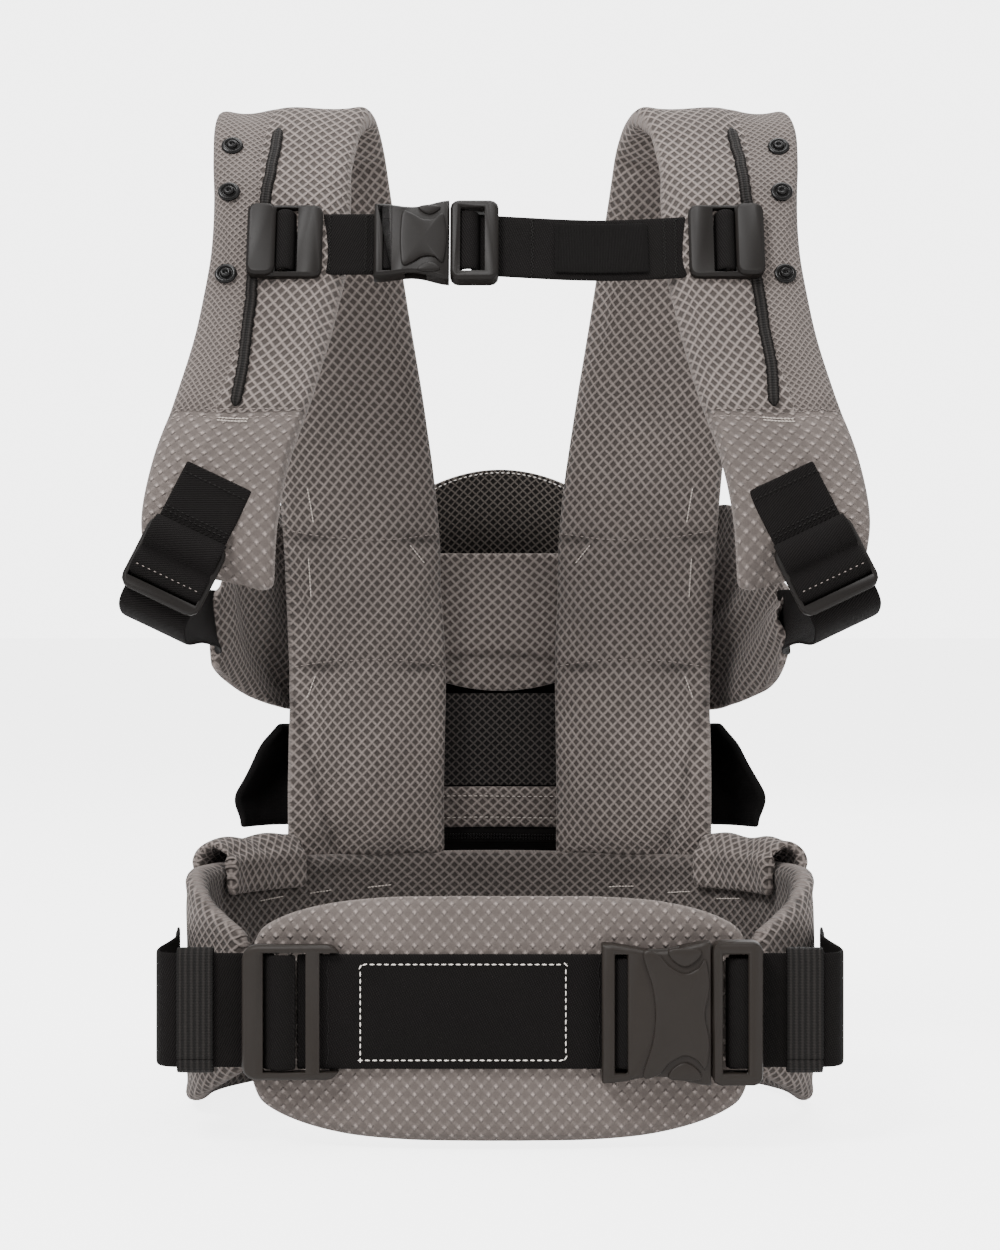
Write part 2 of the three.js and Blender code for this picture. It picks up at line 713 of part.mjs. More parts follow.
const pieces = [
  ['waist_belt', waistBelt(), greyMesh],
  ['lumbar_pad', lumbarPad(), greyMesh],
  ['outer_panel', outerPanel(0, PANEL_THICK, 0), greyMesh],
  ['panel_lining', outerPanel(PANEL_THICK, LINING_THICK, 1), blackLining],
  ['inner_band', chestPiece(205, 265, 4, -12), darkMesh],
  ['mesh_window', chestPiece(144, 192, 2), blackMesh],
  ['lower_band', chestPiece(122, 143.5, 4), darkMesh],
  ['seat_zip', chestPiece(113.6, 121.5, 3), blackWeb],
  ['head_support', headSupport(0, HEAD_THICK, 0), greyMesh],
  ['head_mesh', headSupport(HEAD_THICK / 2 + GAP + LINING_THICK / 2, LINING_THICK, 1), blackMesh],
  ['waist_webbing', waistWebbing(), blackWeb],
  ['belt_webbing_left', beltWebbingLeft(), blackWeb],
  ['belt_webbing_right', beltWebbingRight(), blackWeb],
  ['chest_webbing_left', chestWebbingLeft(), blackWeb],
  ['chest_webbing_right', chestWebbingRight(), blackWeb],
  ['label_patch', labelPatch(), blackWeb],
  ['triglide', triglide(), waistPlastic],
  ['triglide_loop', triglideLoop(), blackWeb],
  ['waist_socket', socket(waistBuckle), waistPlastic],
  ['waist_plug', plug(waistBuckle), waistPlastic],
  ['waist_prong_upper', prong(waistBuckle, 1), waistPlastic],
  ['waist_prong_lower', prong(waistBuckle, -1), waistPlastic],
  ['chest_socket', socket(chestBuckle), chestPlastic],
  ['chest_plug', plug(chestBuckle), chestPlastic],
  ['chest_prong_upper', prong(chestBuckle, 1), chestPlastic],
  ['chest_prong_lower', prong(chestBuckle, -1), chestPlastic],
];

for (const [side, name] of [[LEFT, 'left'], [RIGHT, 'right']]) {
  pieces.push([`shoulder_strap_${name}`, shoulderStrap(side), greyMesh]);
  pieces.push([`chest_rail_${name}`, chestRail(side), elastic]);
  [448, 423, 384].forEach((z, i) => pieces.push([`snap_${name}_${i + 1}`, snap(side, z), snapPlastic]));
  pieces.push([`side_panel_${name}`, sidePanel(side), greyMesh]);
  pieces.push([`leg_wing_${name}`, legWing(side), blackLining]);
  pieces.push([`leg_tab_${name}`, legTab(side), greyMesh]);
  pieces.push([`strap_tab_${name}`, strapTab(side), blackWeb]);
  pieces.push([`adjuster_webbing_${name}`, adjusterWebbing(side), blackWeb]);
  pieces.push([`ladder_lock_${name}`, ladderLock(side), chestPlastic]);
  pieces.push([`lock_roll_${name}`, lockRoll(side), blackWeb]);
  pieces.push([`chest_slider_${name}`, chestSlider(side), chestPlastic]);
  pieces.push([`keeper_${name}`, keeper(side), elastic]);
}

const carrier = new THREE.Group();
for (const [name, geometry, look] of pieces) {
  const mesh = new THREE.Mesh(geometry, look);
  mesh.name = name;
  mesh.position.y = FRAME_SHIFT_Y;
  carrier.add(mesh);
}

export default carrier;
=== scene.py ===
import json
import math

import bmesh
import bpy
import numpy as np
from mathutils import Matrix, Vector
from mathutils.bvhtree import BVHTree

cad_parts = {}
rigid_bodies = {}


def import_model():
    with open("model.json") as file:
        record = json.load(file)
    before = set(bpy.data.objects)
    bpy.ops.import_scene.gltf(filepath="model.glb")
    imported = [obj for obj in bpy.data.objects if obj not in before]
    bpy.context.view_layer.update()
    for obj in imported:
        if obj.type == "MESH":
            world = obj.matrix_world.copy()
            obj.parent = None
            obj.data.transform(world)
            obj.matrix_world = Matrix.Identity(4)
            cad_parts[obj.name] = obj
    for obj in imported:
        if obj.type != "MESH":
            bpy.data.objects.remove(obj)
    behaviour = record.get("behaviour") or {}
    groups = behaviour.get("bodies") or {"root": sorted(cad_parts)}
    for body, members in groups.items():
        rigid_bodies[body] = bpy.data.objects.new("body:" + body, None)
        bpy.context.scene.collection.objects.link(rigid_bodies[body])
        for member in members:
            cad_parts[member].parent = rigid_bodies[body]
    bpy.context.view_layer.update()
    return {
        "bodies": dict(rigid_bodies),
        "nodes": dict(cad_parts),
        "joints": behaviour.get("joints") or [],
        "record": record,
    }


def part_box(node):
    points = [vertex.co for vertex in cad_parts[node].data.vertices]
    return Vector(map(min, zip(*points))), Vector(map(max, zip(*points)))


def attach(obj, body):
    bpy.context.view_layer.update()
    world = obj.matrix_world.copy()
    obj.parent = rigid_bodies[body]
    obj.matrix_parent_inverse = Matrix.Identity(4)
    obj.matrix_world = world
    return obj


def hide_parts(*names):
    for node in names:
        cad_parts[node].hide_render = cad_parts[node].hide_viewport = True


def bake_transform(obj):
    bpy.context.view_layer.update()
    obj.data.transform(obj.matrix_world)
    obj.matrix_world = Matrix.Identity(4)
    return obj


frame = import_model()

# Soft baby carrier. Shapes are worked out in millimetres about the waist belt's ring, and `place` moves
# them into the CAD frame.
MM = 0.001
BELT_FAR_FACE = 94
SHIFT = np.array([0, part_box("waist_belt")[1].y - BELT_FAR_FACE * MM, 0])
SIDES = {"left": -1, "right": 1}


# ---------------------------------------------------------------- number helpers
def mix(a, b, t):
    return a + (b - a) * t


def ease(x, low, high):
    t = np.clip((np.asarray(x, float) - low) / (high - low), 0, 1)
    return t * t * (3 - 2 * t)


def stack(x, y, z):
    return np.stack(np.broadcast_arrays(x, y, z), -1).astype(float)


def unit(v):
    return v / np.maximum(np.linalg.norm(v, axis=-1, keepdims=True), 1e-9)


def bell(x, width):
    return np.exp(-((np.asarray(x, float) / width) ** 2))


def curve_between(p0, p1, p2, p3, f):
    """The smooth curve from p1 to p2 at share f of the way, with p0 before it and p3 after it."""
    value = 2 * p1 + (p2 - p0) * f + (2 * p0 - 5 * p1 + 4 * p2 - p3) * f**2
    return (value + (3 * p1 - p0 - 3 * p2 + p3) * f**3) / 2


def smooth_line(table, t):
    """Points on a smooth curve through the rows of `table`, at shares t of its length in rows."""
    rows = np.asarray(table, float)
    rows = np.vstack([2 * rows[0] - rows[1], rows, 2 * rows[-1] - rows[-2]])
    s = np.clip(np.asarray(t, float), 0, 1) * (len(rows) - 3)
    i = np.minimum(s.astype(int), len(rows) - 4)
    f = (s - i)[..., None]
    return curve_between(*(rows[i + k] for k in range(4)), f)


def place(points):
    """Design millimetres to metres in the CAD frame."""
    return np.asarray(points, float) * MM + SHIFT


# ---------------------------------------------------------------- mesh helpers
def new_object(name, points, faces, attributes):
    mesh = bpy.data.meshes.new(name)
    mesh.from_pydata([tuple(p) for p in points], [], [tuple(int(i) for i in f) for f in faces])
    for key, values in attributes.items():
        layer = mesh.attributes.new(key, "FLOAT_VECTOR", "POINT")
        layer.data.foreach_set("vector", np.asarray(values, np.float32).ravel())
    piece = bpy.data.objects.new(name, mesh)
    bpy.context.scene.collection.objects.link(piece)
    face_outward(mesh)
    return piece


def ring_faces(rings, count):
    """Quads that join each ring of `count` points to the next."""
    return [(ring * count + k, ring * count + (k + 1) % count, (ring + 1) * count + (k + 1) % count,
             (ring + 1) * count + k) for ring in range(rings - 1) for k in range(count)]


def tube_faces(rings, count):
    """Rings joined in a row, with the first and the last ring closed."""
    last = (rings - 1) * count
    return ring_faces(rings, count) + [tuple(range(count)), tuple(last + k for k in range(count))]


def face_outward(mesh):
    shape = bmesh.new()
    shape.from_mesh(mesh)
    bmesh.ops.recalc_face_normals(shape, faces=shape.faces)
    if shape.calc_volume(signed=True) < 0:
        bmesh.ops.reverse_faces(shape, faces=shape.faces)
    shape.to_mesh(mesh)
    shape.free()
    mesh.shade_smooth()


def dress(piece, look, slot, *replaced):
    piece.data.materials.clear()
    piece.data.materials.append(look)
    if replaced:
        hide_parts(*replaced)
    return piece


def finish(piece, look, slot, body, *replaced):
    dress(piece, look, slot, *replaced)
    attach(piece, body)
    return piece


def bake_modifiers(piece):
    """Turns the piece's modifiers into its mesh."""
    graph = bpy.context.evaluated_depsgraph_get()
    mesh = bpy.data.meshes.new_from_object(piece.evaluated_get(graph))
    piece.modifiers.clear()
    piece.data = mesh
    mesh.shade_smooth()


def refine(piece, levels=1):
    subdivide = piece.modifiers.new("refine", "SUBSURF")
    subdivide.levels = levels
    subdivide.render_levels = levels
    bake_modifiers(piece)


def surface_normal(surface, u, v):
    step = 0.004
    along = surface(u + step, v) - surface(u - step, v)
    over = surface(u, v + step) - surface(u, v - step)
    return unit(np.cross(along, over))


def travel_of(surface, count=200):
    """Shares along the middle of a surface, and the distance travelled at each, in millimetres."""
    u = np.linspace(0, 1, count)
    middle = surface(u, np.full(count, 0.5))
    steps = np.linalg.norm(np.diff(middle, axis=0), axis=1)
    return u, np.concatenate([[0], np.cumsum(steps)])


def pad(name, surface, thick, cell, dent=None, zone=None, edge=3):
    """A closed stuffed sheet about surface(u, v), with flat faces and round edges, in millimetres.

    dent(x, s, side) gives how far the face sinks at x across and s along; side is 1 on the face that
    the surface's normal leaves and 0 on the other. zone(x, s, side) gives three numbers for the shader.
    The mesh carries both as attributes: `weave` is (x, s, side) and `zone` is what zone gives.
    """
    half = thick / 2
    shares, travel = travel_of(surface)
    length = travel[-1]
    turns = np.radians([18, 45, 70])
    start = [(half * (1 - math.cos(a)), math.sin(a)) for a in turns]
    inner = np.linspace(half, length - half, max(2, round(length / cell)) + 1)
    stations = start + [(s, 1.0) for s in inner] + [(length - s, k) for s, k in reversed(start)]
    s = np.array([a for a, _ in stations])[:, None]
    scale = np.array([b for _, b in stations])[:, None]
    u = np.interp(s, travel, shares)
    ribs = np.linspace(0, 1, 13)
    spots = [surface(u, np.full_like(u, v)) for v in ribs]
    width = sum(np.linalg.norm(b - a, axis=-1) for a, b in zip(spots, spots[1:])) / 2
    columns = max(4, round(2 * float(width.max()) / cell))
    faces_across = np.linspace(-1, 1, columns + 1)
    arc = np.linspace(0, math.pi, edge + 2)[1:-1]
    flat = np.concatenate([faces_across, np.ones(edge), faces_across[::-1], -np.ones(edge)])[None]
    swell = np.concatenate([0 * faces_across, np.sin(arc), 0 * faces_across, -np.sin(arc)])[None]
    lift = np.concatenate([1 + 0 * faces_across, np.cos(arc), -1 + 0 * faces_across, -np.cos(arc)])[None]
    side = 0.5 + 0.5 * np.sign(np.round(lift, 6))
    trim = half * (2 - scale)
    x = flat * np.maximum(width - trim, 0.05 * width) + swell * half * scale
    v = 0.5 + x / (2 * np.maximum(width, 1e-6))
    u = np.broadcast_to(u, v.shape)
    rise = lift * half * scale
    if dent is not None:
        rise = rise - lift * dent(x, np.broadcast_to(s, x.shape), side)
    normal = surface_normal(surface, u, np.clip(v, 0.03, 0.97))
    points = surface(u, v) + normal * rise[..., None]
    rings, count = v.shape
    row = np.arange(rings - 1)[:, None] * count
    near = np.arange(count)[None]
    far = (near + 1) % count
    quads = np.stack([row + near, row + far, row + count + far, row + count + near], -1)
    faces = quads.reshape(-1, 4).tolist()
    top = columns + 1
    for first in (0, (rings - 1) * count):
        under = [first + 2 * top + edge - 1 - i for i in range(top)]
        over = [first + i for i in range(top)]
        faces += [(over[i], over[i + 1], under[i + 1], under[i]) for i in range(columns)]
        faces.append([first + i for i in range(columns, columns + edge + 2)])
        faces.append([first + i for i in range(2 * top + edge - 1, count)] + [first])
    along = np.broadcast_to(s, x.shape)
    facing = np.broadcast_to(side, x.shape)
    attributes = {"weave": np.stack([x, along, facing], -1).reshape(-1, 3)}
    if zone is not None:
        attributes["zone"] = np.stack(np.broadcast_arrays(*zone(x, along, facing)), -1).reshape(-1, 3)
    return new_object(name, place(points.reshape(-1, 3)), faces, attributes)


def flat_size(surface):
    """Width and length of a surface laid flat, in metres."""
    t = np.linspace(0, 1, 60)
    half = np.full(60, 0.5)
    runs = [surface(half, t), surface(t, half)]
    return tuple(float(np.linalg.norm(np.diff(run, axis=0), axis=1).sum()) * MM for run in runs)


def puff(piece, cap, pressure=4.0, frames=20):
    """Swells the piece as cloth over its filling, with each point kept within `cap` millimetres."""
    mesh = piece.data
    rest = np.array([v.co for v in mesh.vertices])
    cloth = piece.modifiers.new("cloth", "CLOTH")
    cloth.settings.use_pressure = True
    cloth.settings.uniform_pressure_force = pressure
    cloth.settings.effector_weights.gravity = 0
    cloth.point_cache.frame_start = 1
    cloth.point_cache.frame_end = frames
    scene = bpy.context.scene
    for number in range(1, frames + 1):
        scene.frame_set(number)
    graph = bpy.context.evaluated_depsgraph_get()
    shaped = piece.evaluated_get(graph)
    moved = np.array([v.co for v in shaped.data.vertices]) - rest
    piece.modifiers.clear()
    scene.frame_set(1)
    far = np.linalg.norm(moved, axis=1, keepdims=True)
    moved *= np.minimum(1, cap * MM / np.maximum(far, 1e-9))
    mesh.vertices.foreach_set("co", (rest + moved).astype(np.float32).ravel())
    mesh.update()


ROW_LIFT = 0.15  # how far a stitch row's middle stands off the face, in millimetres
ROW_COUNT = 60
ODD = np.arange(ROW_COUNT) % 2  # 0, 1, 0, 1... along a row, which makes it a zigzag


def on_face(piece, route, lift):
    """Moves a route, in design millimetres, onto the nearest faces of a finished piece."""
    graph = bpy.context.evaluated_depsgraph_get()
    tree = BVHTree.FromObject(piece, graph)
    found = []
    for point in place(route):
        spot, normal, _, _ = tree.find_nearest(Vector(point))
        found.append(spot + normal * lift * MM)
    return found


# ---------------------------------------------------------------- shader helpers
class Value:
    """A shader socket that takes arithmetic, each operation adding its Math node."""

    def __init__(self, look, socket):
        self.look = look
        self.socket = socket

    def math(self, operation, *others):
        inputs = {0: self.socket}
        for i, other in enumerate(others):
            inputs[i + 1] = other.socket if isinstance(other, Value) else other
        return Value(self.look, self.look.add("ShaderNodeMath", {"operation": operation}, inputs).outputs[0])

    def flipped(self, operation, other):
        node = self.look.add("ShaderNodeMath", {"operation": operation}, {0: other, 1: self.socket})
        return Value(self.look, node.outputs[0])

    def __add__(self, other):
        return self.math("ADD", other)

    def __sub__(self, other):
        return self.math("SUBTRACT", other)

    def __mul__(self, other):
        return self.math("MULTIPLY", other)

    def __truediv__(self, other):
        return self.math("DIVIDE", other)

    def __rsub__(self, other):
        return self.flipped("SUBTRACT", other)

    __radd__ = __add__
    __rmul__ = __mul__

    def step(self, low, high):
        """0 below low and 1 above high, smoothly."""
        settings = {"interpolation_type": "SMOOTHSTEP"}
        node = self.look.add("ShaderNodeMapRange", settings, {"Value": self.socket})
        node.inputs["From Min"].default_value = low
        node.inputs["From Max"].default_value = high
        return Value(self.look, node.outputs["Result"])

    def wave(self, pitch=1.0):
        """1 at whole multiples of the pitch and 0 half way between."""
        return (self / pitch + 0.5).math("FRACT").math("SUBTRACT", 0.5).math("ABSOLUTE") * -2.0 + 1.0

    def most(self, other):
        return self.math("MAXIMUM", other)

class Look:
    """One material, built node by node."""

    def __init__(self, name, color, roughness, **sockets):
        self.material = bpy.data.materials.new(name)
        self.material.use_nodes = True
        self.nodes = self.material.node_tree.nodes
        self.links = self.material.node_tree.links
        self.shader = self.nodes["Principled BSDF"]
        self.shader.inputs["Base Color"].default_value = (*color, 1)
        self.shader.inputs["Roughness"].default_value = roughness
        for key, value in sockets.items():
            self.shader.inputs[key.replace("_", " ")].default_value = value

    def add(self, kind, settings, inputs):
        node = self.nodes.new(kind)
        for key, value in settings.items():
            setattr(node, key, value)
        for key, value in inputs.items():
            socket = value.socket if isinstance(value, Value) else value
            if isinstance(socket, bpy.types.NodeSocket):
                self.links.new(socket, node.inputs[key])
            else:
                node.inputs[key].default_value = socket
        return node

    def attribute(self, name):
        node = self.add("ShaderNodeAttribute", {"attribute_name": name}, {})
        split = self.add("ShaderNodeSeparateXYZ", {}, {0: node.outputs["Vector"]})
        return [Value(self, split.outputs[i]) for i in range(3)]

    def place(self):
        return self.add("ShaderNodeTexCoord", {}, {}).outputs["Object"]

    def noise(self, where, scale, detail=3.0, roughness=0.55):
        inputs = {"Vector": where, "Scale": scale, "Detail": detail, "Roughness": roughness}
        return Value(self, self.add("ShaderNodeTexNoise", {}, inputs).outputs["Fac"])

    def colour(self, factor, dark, light):
        inputs = {0: factor, 6: dark, 7: light}
        inputs = {k: (*v, 1) if isinstance(v, tuple) else v for k, v in inputs.items()}
        return self.add("ShaderNodeMix", {"data_type": "RGBA"}, inputs).outputs[2]

    def tint(self, colour, factor):
        inputs = {0: 1.0, 6: colour, 7: factor.socket}
        return self.add("ShaderNodeMix", {"data_type": "RGBA", "blend_type": "MULTIPLY"}, inputs).outputs[2]

    def paint(self, colour):
        self.links.new(colour, self.shader.inputs["Base Color"])

    def rough(self, value):
        self.links.new(value.socket, self.shader.inputs["Roughness"])

    def raise_by(self, height, depth_mm, strength=1.0):
        inputs = {"Height": height, "Strength": strength, "Distance": depth_mm * MM}
        node = self.add("ShaderNodeBump", {}, inputs)
        self.links.new(node.outputs["Normal"], self.shader.inputs["Normal"])


def combine(look, x, y, z=0.0):
    inputs = {0: x.socket, 1: y.socket, 2: z.socket if isinstance(z, Value) else z}
    return look.add("ShaderNodeCombineXYZ", {}, inputs).outputs[0]


def scaled(colour, share):
    return tuple(c * share for c in colour)


# ---------------------------------------------------------------- materials
def knit_mesh(name, thread, pit, across=5.2, along=5.6):
    """Spacer knit: thin crossing threads over dark pits on the lattice face, raised dots on the reverse."""
    look = Look(name, thread, 0.9, Sheen_Weight=0.05, Sheen_Roughness=0.5, Specular_IOR_Level=0.1)
    x, s, facing = look.attribute("weave")
    reverse, dense, shade = look.attribute("zone")
    where = combine(look, x, s)
    drift = look.noise(where, 0.05, 2.0) - 0.5
    fibre = look.noise(where, 1.7, 4.0, 0.7)
    a = x / across + s / along + drift * 0.5
    b = x / across - s / along + drift * -0.4
    threads = a.wave().step(0.42, 0.9).most(b.wave().step(0.42, 0.9))
    knots = a.wave().step(0.55, 1.0) * b.wave().step(0.55, 1.0)
    glint = look.noise(where, 0.22, 3.0, 0.6)
    lattice = threads * (glint * 0.5 + 0.5) + knots * 0.25
    p = x / 7.2 + s / 6.4
    q = x / 7.2 - s / 6.4
    bead = p.wave().step(0.4, 0.85) * q.wave().step(0.4, 0.85)
    small_a = (x / 3.4 + s / 3.4 + drift * 0.5).wave().step(0.3, 0.9)
    tight = small_a.most((x / 3.4 - s / 3.4).wave().step(0.3, 0.9))
    back = reverse.step(-0.4, 0.4)
    close = dense.step(-0.4, 0.4)
    height = lattice + close * (tight * 0.7 - lattice)
    height = height + back * (bead * 1.3 - height)
    tone = lattice + close * (tight * 0.45 + 0.08 - lattice)
    net = p.wave().step(0.5, 0.95).most(q.wave().step(0.5, 0.95))
    tone = tone + back * (bead * 0.9 + net * 0.16 + 0.26 - tone)
    flat = (facing - 0.5).math("ABSOLUTE").step(0.2, 0.49)
    hem = s.wave(1.8) * 0.2 + 0.45
    tone = hem + flat * (tone - hem)
    tone = tone + (fibre - 0.5) * 0.45
    colour = look.colour(tone.step(-0.15, 1.25), pit, thread)
    patches = look.noise(look.place(), 22.0, 4.0) * 0.4 + 0.8
    look.paint(look.tint(colour, patches * (1.0 - shade * 0.6)))
    look.rough(1.0 - tone * 0.12)
    look.raise_by(height + fibre * 0.3, 1.25, 1.0)
    return look.material


def knit_lining(name, colour):
    """Fine matt knit with faint vertical ribs."""
    look = Look(name, colour, 0.92, Specular_IOR_Level=0.03)
    x, s, _ = look.attribute("weave")
    ribs = x.wave(0.9) * 0.5 + (s + x * 0.5).wave(0.7) * 0.5
    fuzz = look.noise(combine(look, x, s), 0.9, 4.0, 0.7)
    look.paint(look.colour((ribs * 0.5 + fuzz * 0.5).step(0.3, 0.9), colour, scaled(colour, 2.4)))
    look.raise_by(ribs * 0.5 + fuzz, 0.3, 0.6)
    return look.material


def open_mesh(name, thread, hole):
    """Black see-through mesh: fine diamond net over darkness."""
    look = Look(name, thread, 0.7, Specular_IOR_Level=0.06)
    x, s, _ = look.attribute("weave")
    a = (x / 4.4 + s / 4.6).wave().step(0.55, 0.9)
    b = (x / 4.4 - s / 4.6).wave().step(0.55, 0.9)
    net = a.most(b)
    fibre = look.noise(combine(look, x, s), 1.5, 3.0, 0.6)
    look.paint(look.colour((net * 0.8 + fibre * 0.3).step(0.1, 1.1), hole, thread))
    look.raise_by(net + fibre * 0.2, 0.5, 0.8)
    return look.material


def woven_tape(name, colour, rib=1.1, twill=True, light=2.0):
    """Webbing: rows of yarn across the tape with a fine twill, smoother selvedges."""
    look = Look(name, colour, 0.75, Specular_IOR_Level=0.04)
    x, s, _ = look.attribute("weave")
    rows = (s + x * (0.5 if twill else 0.0)).wave(rib)
    yarn = x.wave(0.8) * rows
    fuzz = look.noise(combine(look, x, s), 1.1, 4.0, 0.65)
    wear = look.noise(look.place(), 40.0, 3.0)
    tone = rows * 0.45 + yarn * 0.25 + fuzz * 0.3 + (wear - 0.5) * 0.35
    look.paint(look.colour(tone.step(0.15, 1.0), colour, scaled(colour, light)))
    look.rough(0.9 - rows * 0.15)
    look.raise_by(rows + yarn * 0.5 + fuzz * 0.3, 0.28, 0.8)
    return look.material


def ribbed_elastic(name, colour):
    """Braided elastic with cords along it and fine ribs across; the cords are painted lighter as a highlight
    and the grooves between them darker as painted shade.
    """
    look = Look(name, colour, 0.65, Specular_IOR_Level=0.08)
    x, s, _ = look.attribute("weave")
    ribs = s.wave(1.3)
    cords = (x + 1.3).wave(2.6).step(0.1, 0.9)
    fuzz = look.noise(combine(look, x, s), 1.2, 3.0, 0.6)
    # Painted highlight on the cords and painted shade in the grooves between them.
    tone = ribs * 0.3 + cords * 0.7 + fuzz * 0.2
    look.paint(look.colour(tone.step(0.2, 1.1), colour, scaled(colour, 3.4)))
    look.raise_by(ribs * 0.6 + cords, 0.35, 0.9)
    return look.material


def moulded_plastic(name, colour, roughness):
    """Injection-moulded acetal with a fine spark texture and rubbed high spots."""
    look = Look(name, colour, roughness, Specular_IOR_Level=0.11)
    where = look.place()
    grain = look.noise(where, 2600.0, 3.0, 0.6)
    cloud = look.noise(where, 60.0, 3.0)
    scuff = look.noise(where, 420.0, 5.0, 0.75).step(0.56, 0.72)
    look.paint(look.colour(cloud * 0.6 + grain * 0.4, scaled(colour, 0.82), scaled(colour, 1.2)))
    look.rough(grain * 0.16 + scuff * 0.08 + (roughness - 0.1))
    look.raise_by(grain + scuff * 0.3, 0.05, 0.5)
    return look.material


def sewing_thread(name, colour):
    """Twisted polyester thread."""
    look = Look(name, colour, 0.7, Specular_IOR_Level=0.08)
    twist = look.noise(look.place(), 2400.0, 2.0, 0.6)
    look.paint(look.colour(twist, scaled(colour, 0.7), scaled(colour, 1.15)))
    look.raise_by(twist, 0.1, 0.6)
    return look.material


def studio_floor():
    """Pale paper that the camera sees almost as bright as the backdrop, with its shadows still there."""
    look = Look("pale_floor", (0.92, 0.92, 0.92), 0.85)
    cloud = look.noise(look.place(), 1.5, 2.0)
    look.paint(look.colour(cloud, (0.915, 0.915, 0.915), (0.925, 0.925, 0.925)))
    glow = look.add("ShaderNodeEmission", {}, {"Color": (1, 1, 1, 1), "Strength": 6.5})
    seen = Value(look, look.add("ShaderNodeLightPath", {}, {}).outputs["Is Camera Ray"])
    both = look.add("ShaderNodeMixShader", {}, {0: seen * 0.6})
    look.links.new(look.shader.outputs[0], both.inputs[1])
    look.links.new(glow.outputs[0], both.inputs[2])
    look.links.new(both.outputs[0], look.nodes["Material Output"].inputs["Surface"])
    return look.material


GREY = knit_mesh("grey_spacer_mesh", (0.185, 0.156, 0.143), (0.036, 0.030, 0.027))
LINING = knit_lining("black_knit_lining", (0.0022, 0.002, 0.002))
NET = open_mesh("black_open_mesh", (0.030, 0.026, 0.024), (0.003, 0.0027, 0.0026))
HEAD_NET = open_mesh("head_open_mesh", (0.085, 0.074, 0.066), (0.008, 0.007, 0.0065))
TAPE = woven_tape("black_webbing", (0.0032, 0.0028, 0.0027))
BINDING = woven_tape("black_binding", (0.003, 0.0027, 0.0026), rib=0.7, twill=False)
ELASTIC = ribbed_elastic("black_elastic", (0.0030, 0.0026, 0.0024))
CHEST_PLASTIC = moulded_plastic("charcoal_plastic", (0.0042, 0.0033, 0.0028), 0.5)
WAIST_PLASTIC = moulded_plastic("warm_grey_plastic", (0.0105, 0.0083, 0.0069), 0.48)
SNAP_PLASTIC = moulded_plastic("black_snap_plastic", (0.0028, 0.0025, 0.0024), 0.3)
WHITE_THREAD = sewing_thread("white_thread", (0.62, 0.58, 0.54))
PALE_THREAD = sewing_thread("pale_thread", (0.30, 0.265, 0.24))
GREY_THREAD = sewing_thread("grey_thread", (0.16, 0.135, 0.125))
BLACK_THREAD = sewing_thread("black_thread", (0.006, 0.0054, 0.005))


# ---------------------------------------------------------------- stitches
def stitch_tree():
    """Geometry Nodes: one short thread at each step along a curve, turned to follow it."""
    tree = bpy.data.node_groups.new("stitch_row", "GeometryNodeTree")
    face = tree.interface
    face.new_socket("Geometry", in_out="INPUT", socket_type="NodeSocketGeometry")
    inputs = {}
    for label in ("Pitch", "Stitch Length", "Thread Radius"):
        inputs[label] = face.new_socket(label, in_out="INPUT", socket_type="NodeSocketFloat")
    inputs["Thread"] = face.new_socket("Thread", in_out="INPUT", socket_type="NodeSocketMaterial")
    face.new_socket("Geometry", in_out="OUTPUT", socket_type="NodeSocketGeometry")

    def add(kind, **sockets):
        node = tree.nodes.new(kind)
        for key, value in sockets.items():
            tree.links.new(value, node.inputs[key.replace("_", " ")])
        return node

    source = tree.nodes.new("NodeGroupInput")
    row = tree.nodes.new("GeometryNodeResampleCurve")
    row.mode = "LENGTH"
    tree.links.new(source.outputs["Geometry"], row.inputs["Curve"])
    tree.links.new(source.outputs["Pitch"], row.inputs["Length"])
    bead = tree.nodes.new("GeometryNodeMeshUVSphere")
    bead.inputs["Segments"].default_value = 6
    bead.inputs["Rings"].default_value = 4
    bead.inputs["Radius"].default_value = 1.0
    size = add("ShaderNodeCombineXYZ", X=source.outputs["Thread Radius"], Y=source.outputs["Thread Radius"])
    tree.links.new(source.outputs["Stitch Length"], size.inputs["Z"])
    turn = tree.nodes.new("FunctionNodeAlignRotationToVector")
    turn.axis = "Z"
    tree.links.new(tree.nodes.new("GeometryNodeInputTangent").outputs["Tangent"], turn.inputs["Vector"])
    threads = add("GeometryNodeInstanceOnPoints", Points=row.outputs["Curve"], Instance=bead.outputs["Mesh"])
    tree.links.new(turn.outputs["Rotation"], threads.inputs["Rotation"])
    tree.links.new(size.outputs["Vector"], threads.inputs["Scale"])
    whole = add("GeometryNodeRealizeInstances", Geometry=threads.outputs["Instances"])
    cover = add("GeometryNodeSetMaterial", Geometry=whole.outputs["Geometry"])
    tree.links.new(source.outputs["Thread"], cover.inputs["Material"])
    target = tree.nodes.new("NodeGroupOutput")
    tree.links.new(cover.outputs["Geometry"], target.inputs["Geometry"])
    return tree, {label: socket.identifier for label, socket in inputs.items()}


STITCH_TREE, STITCH_INPUTS = stitch_tree()


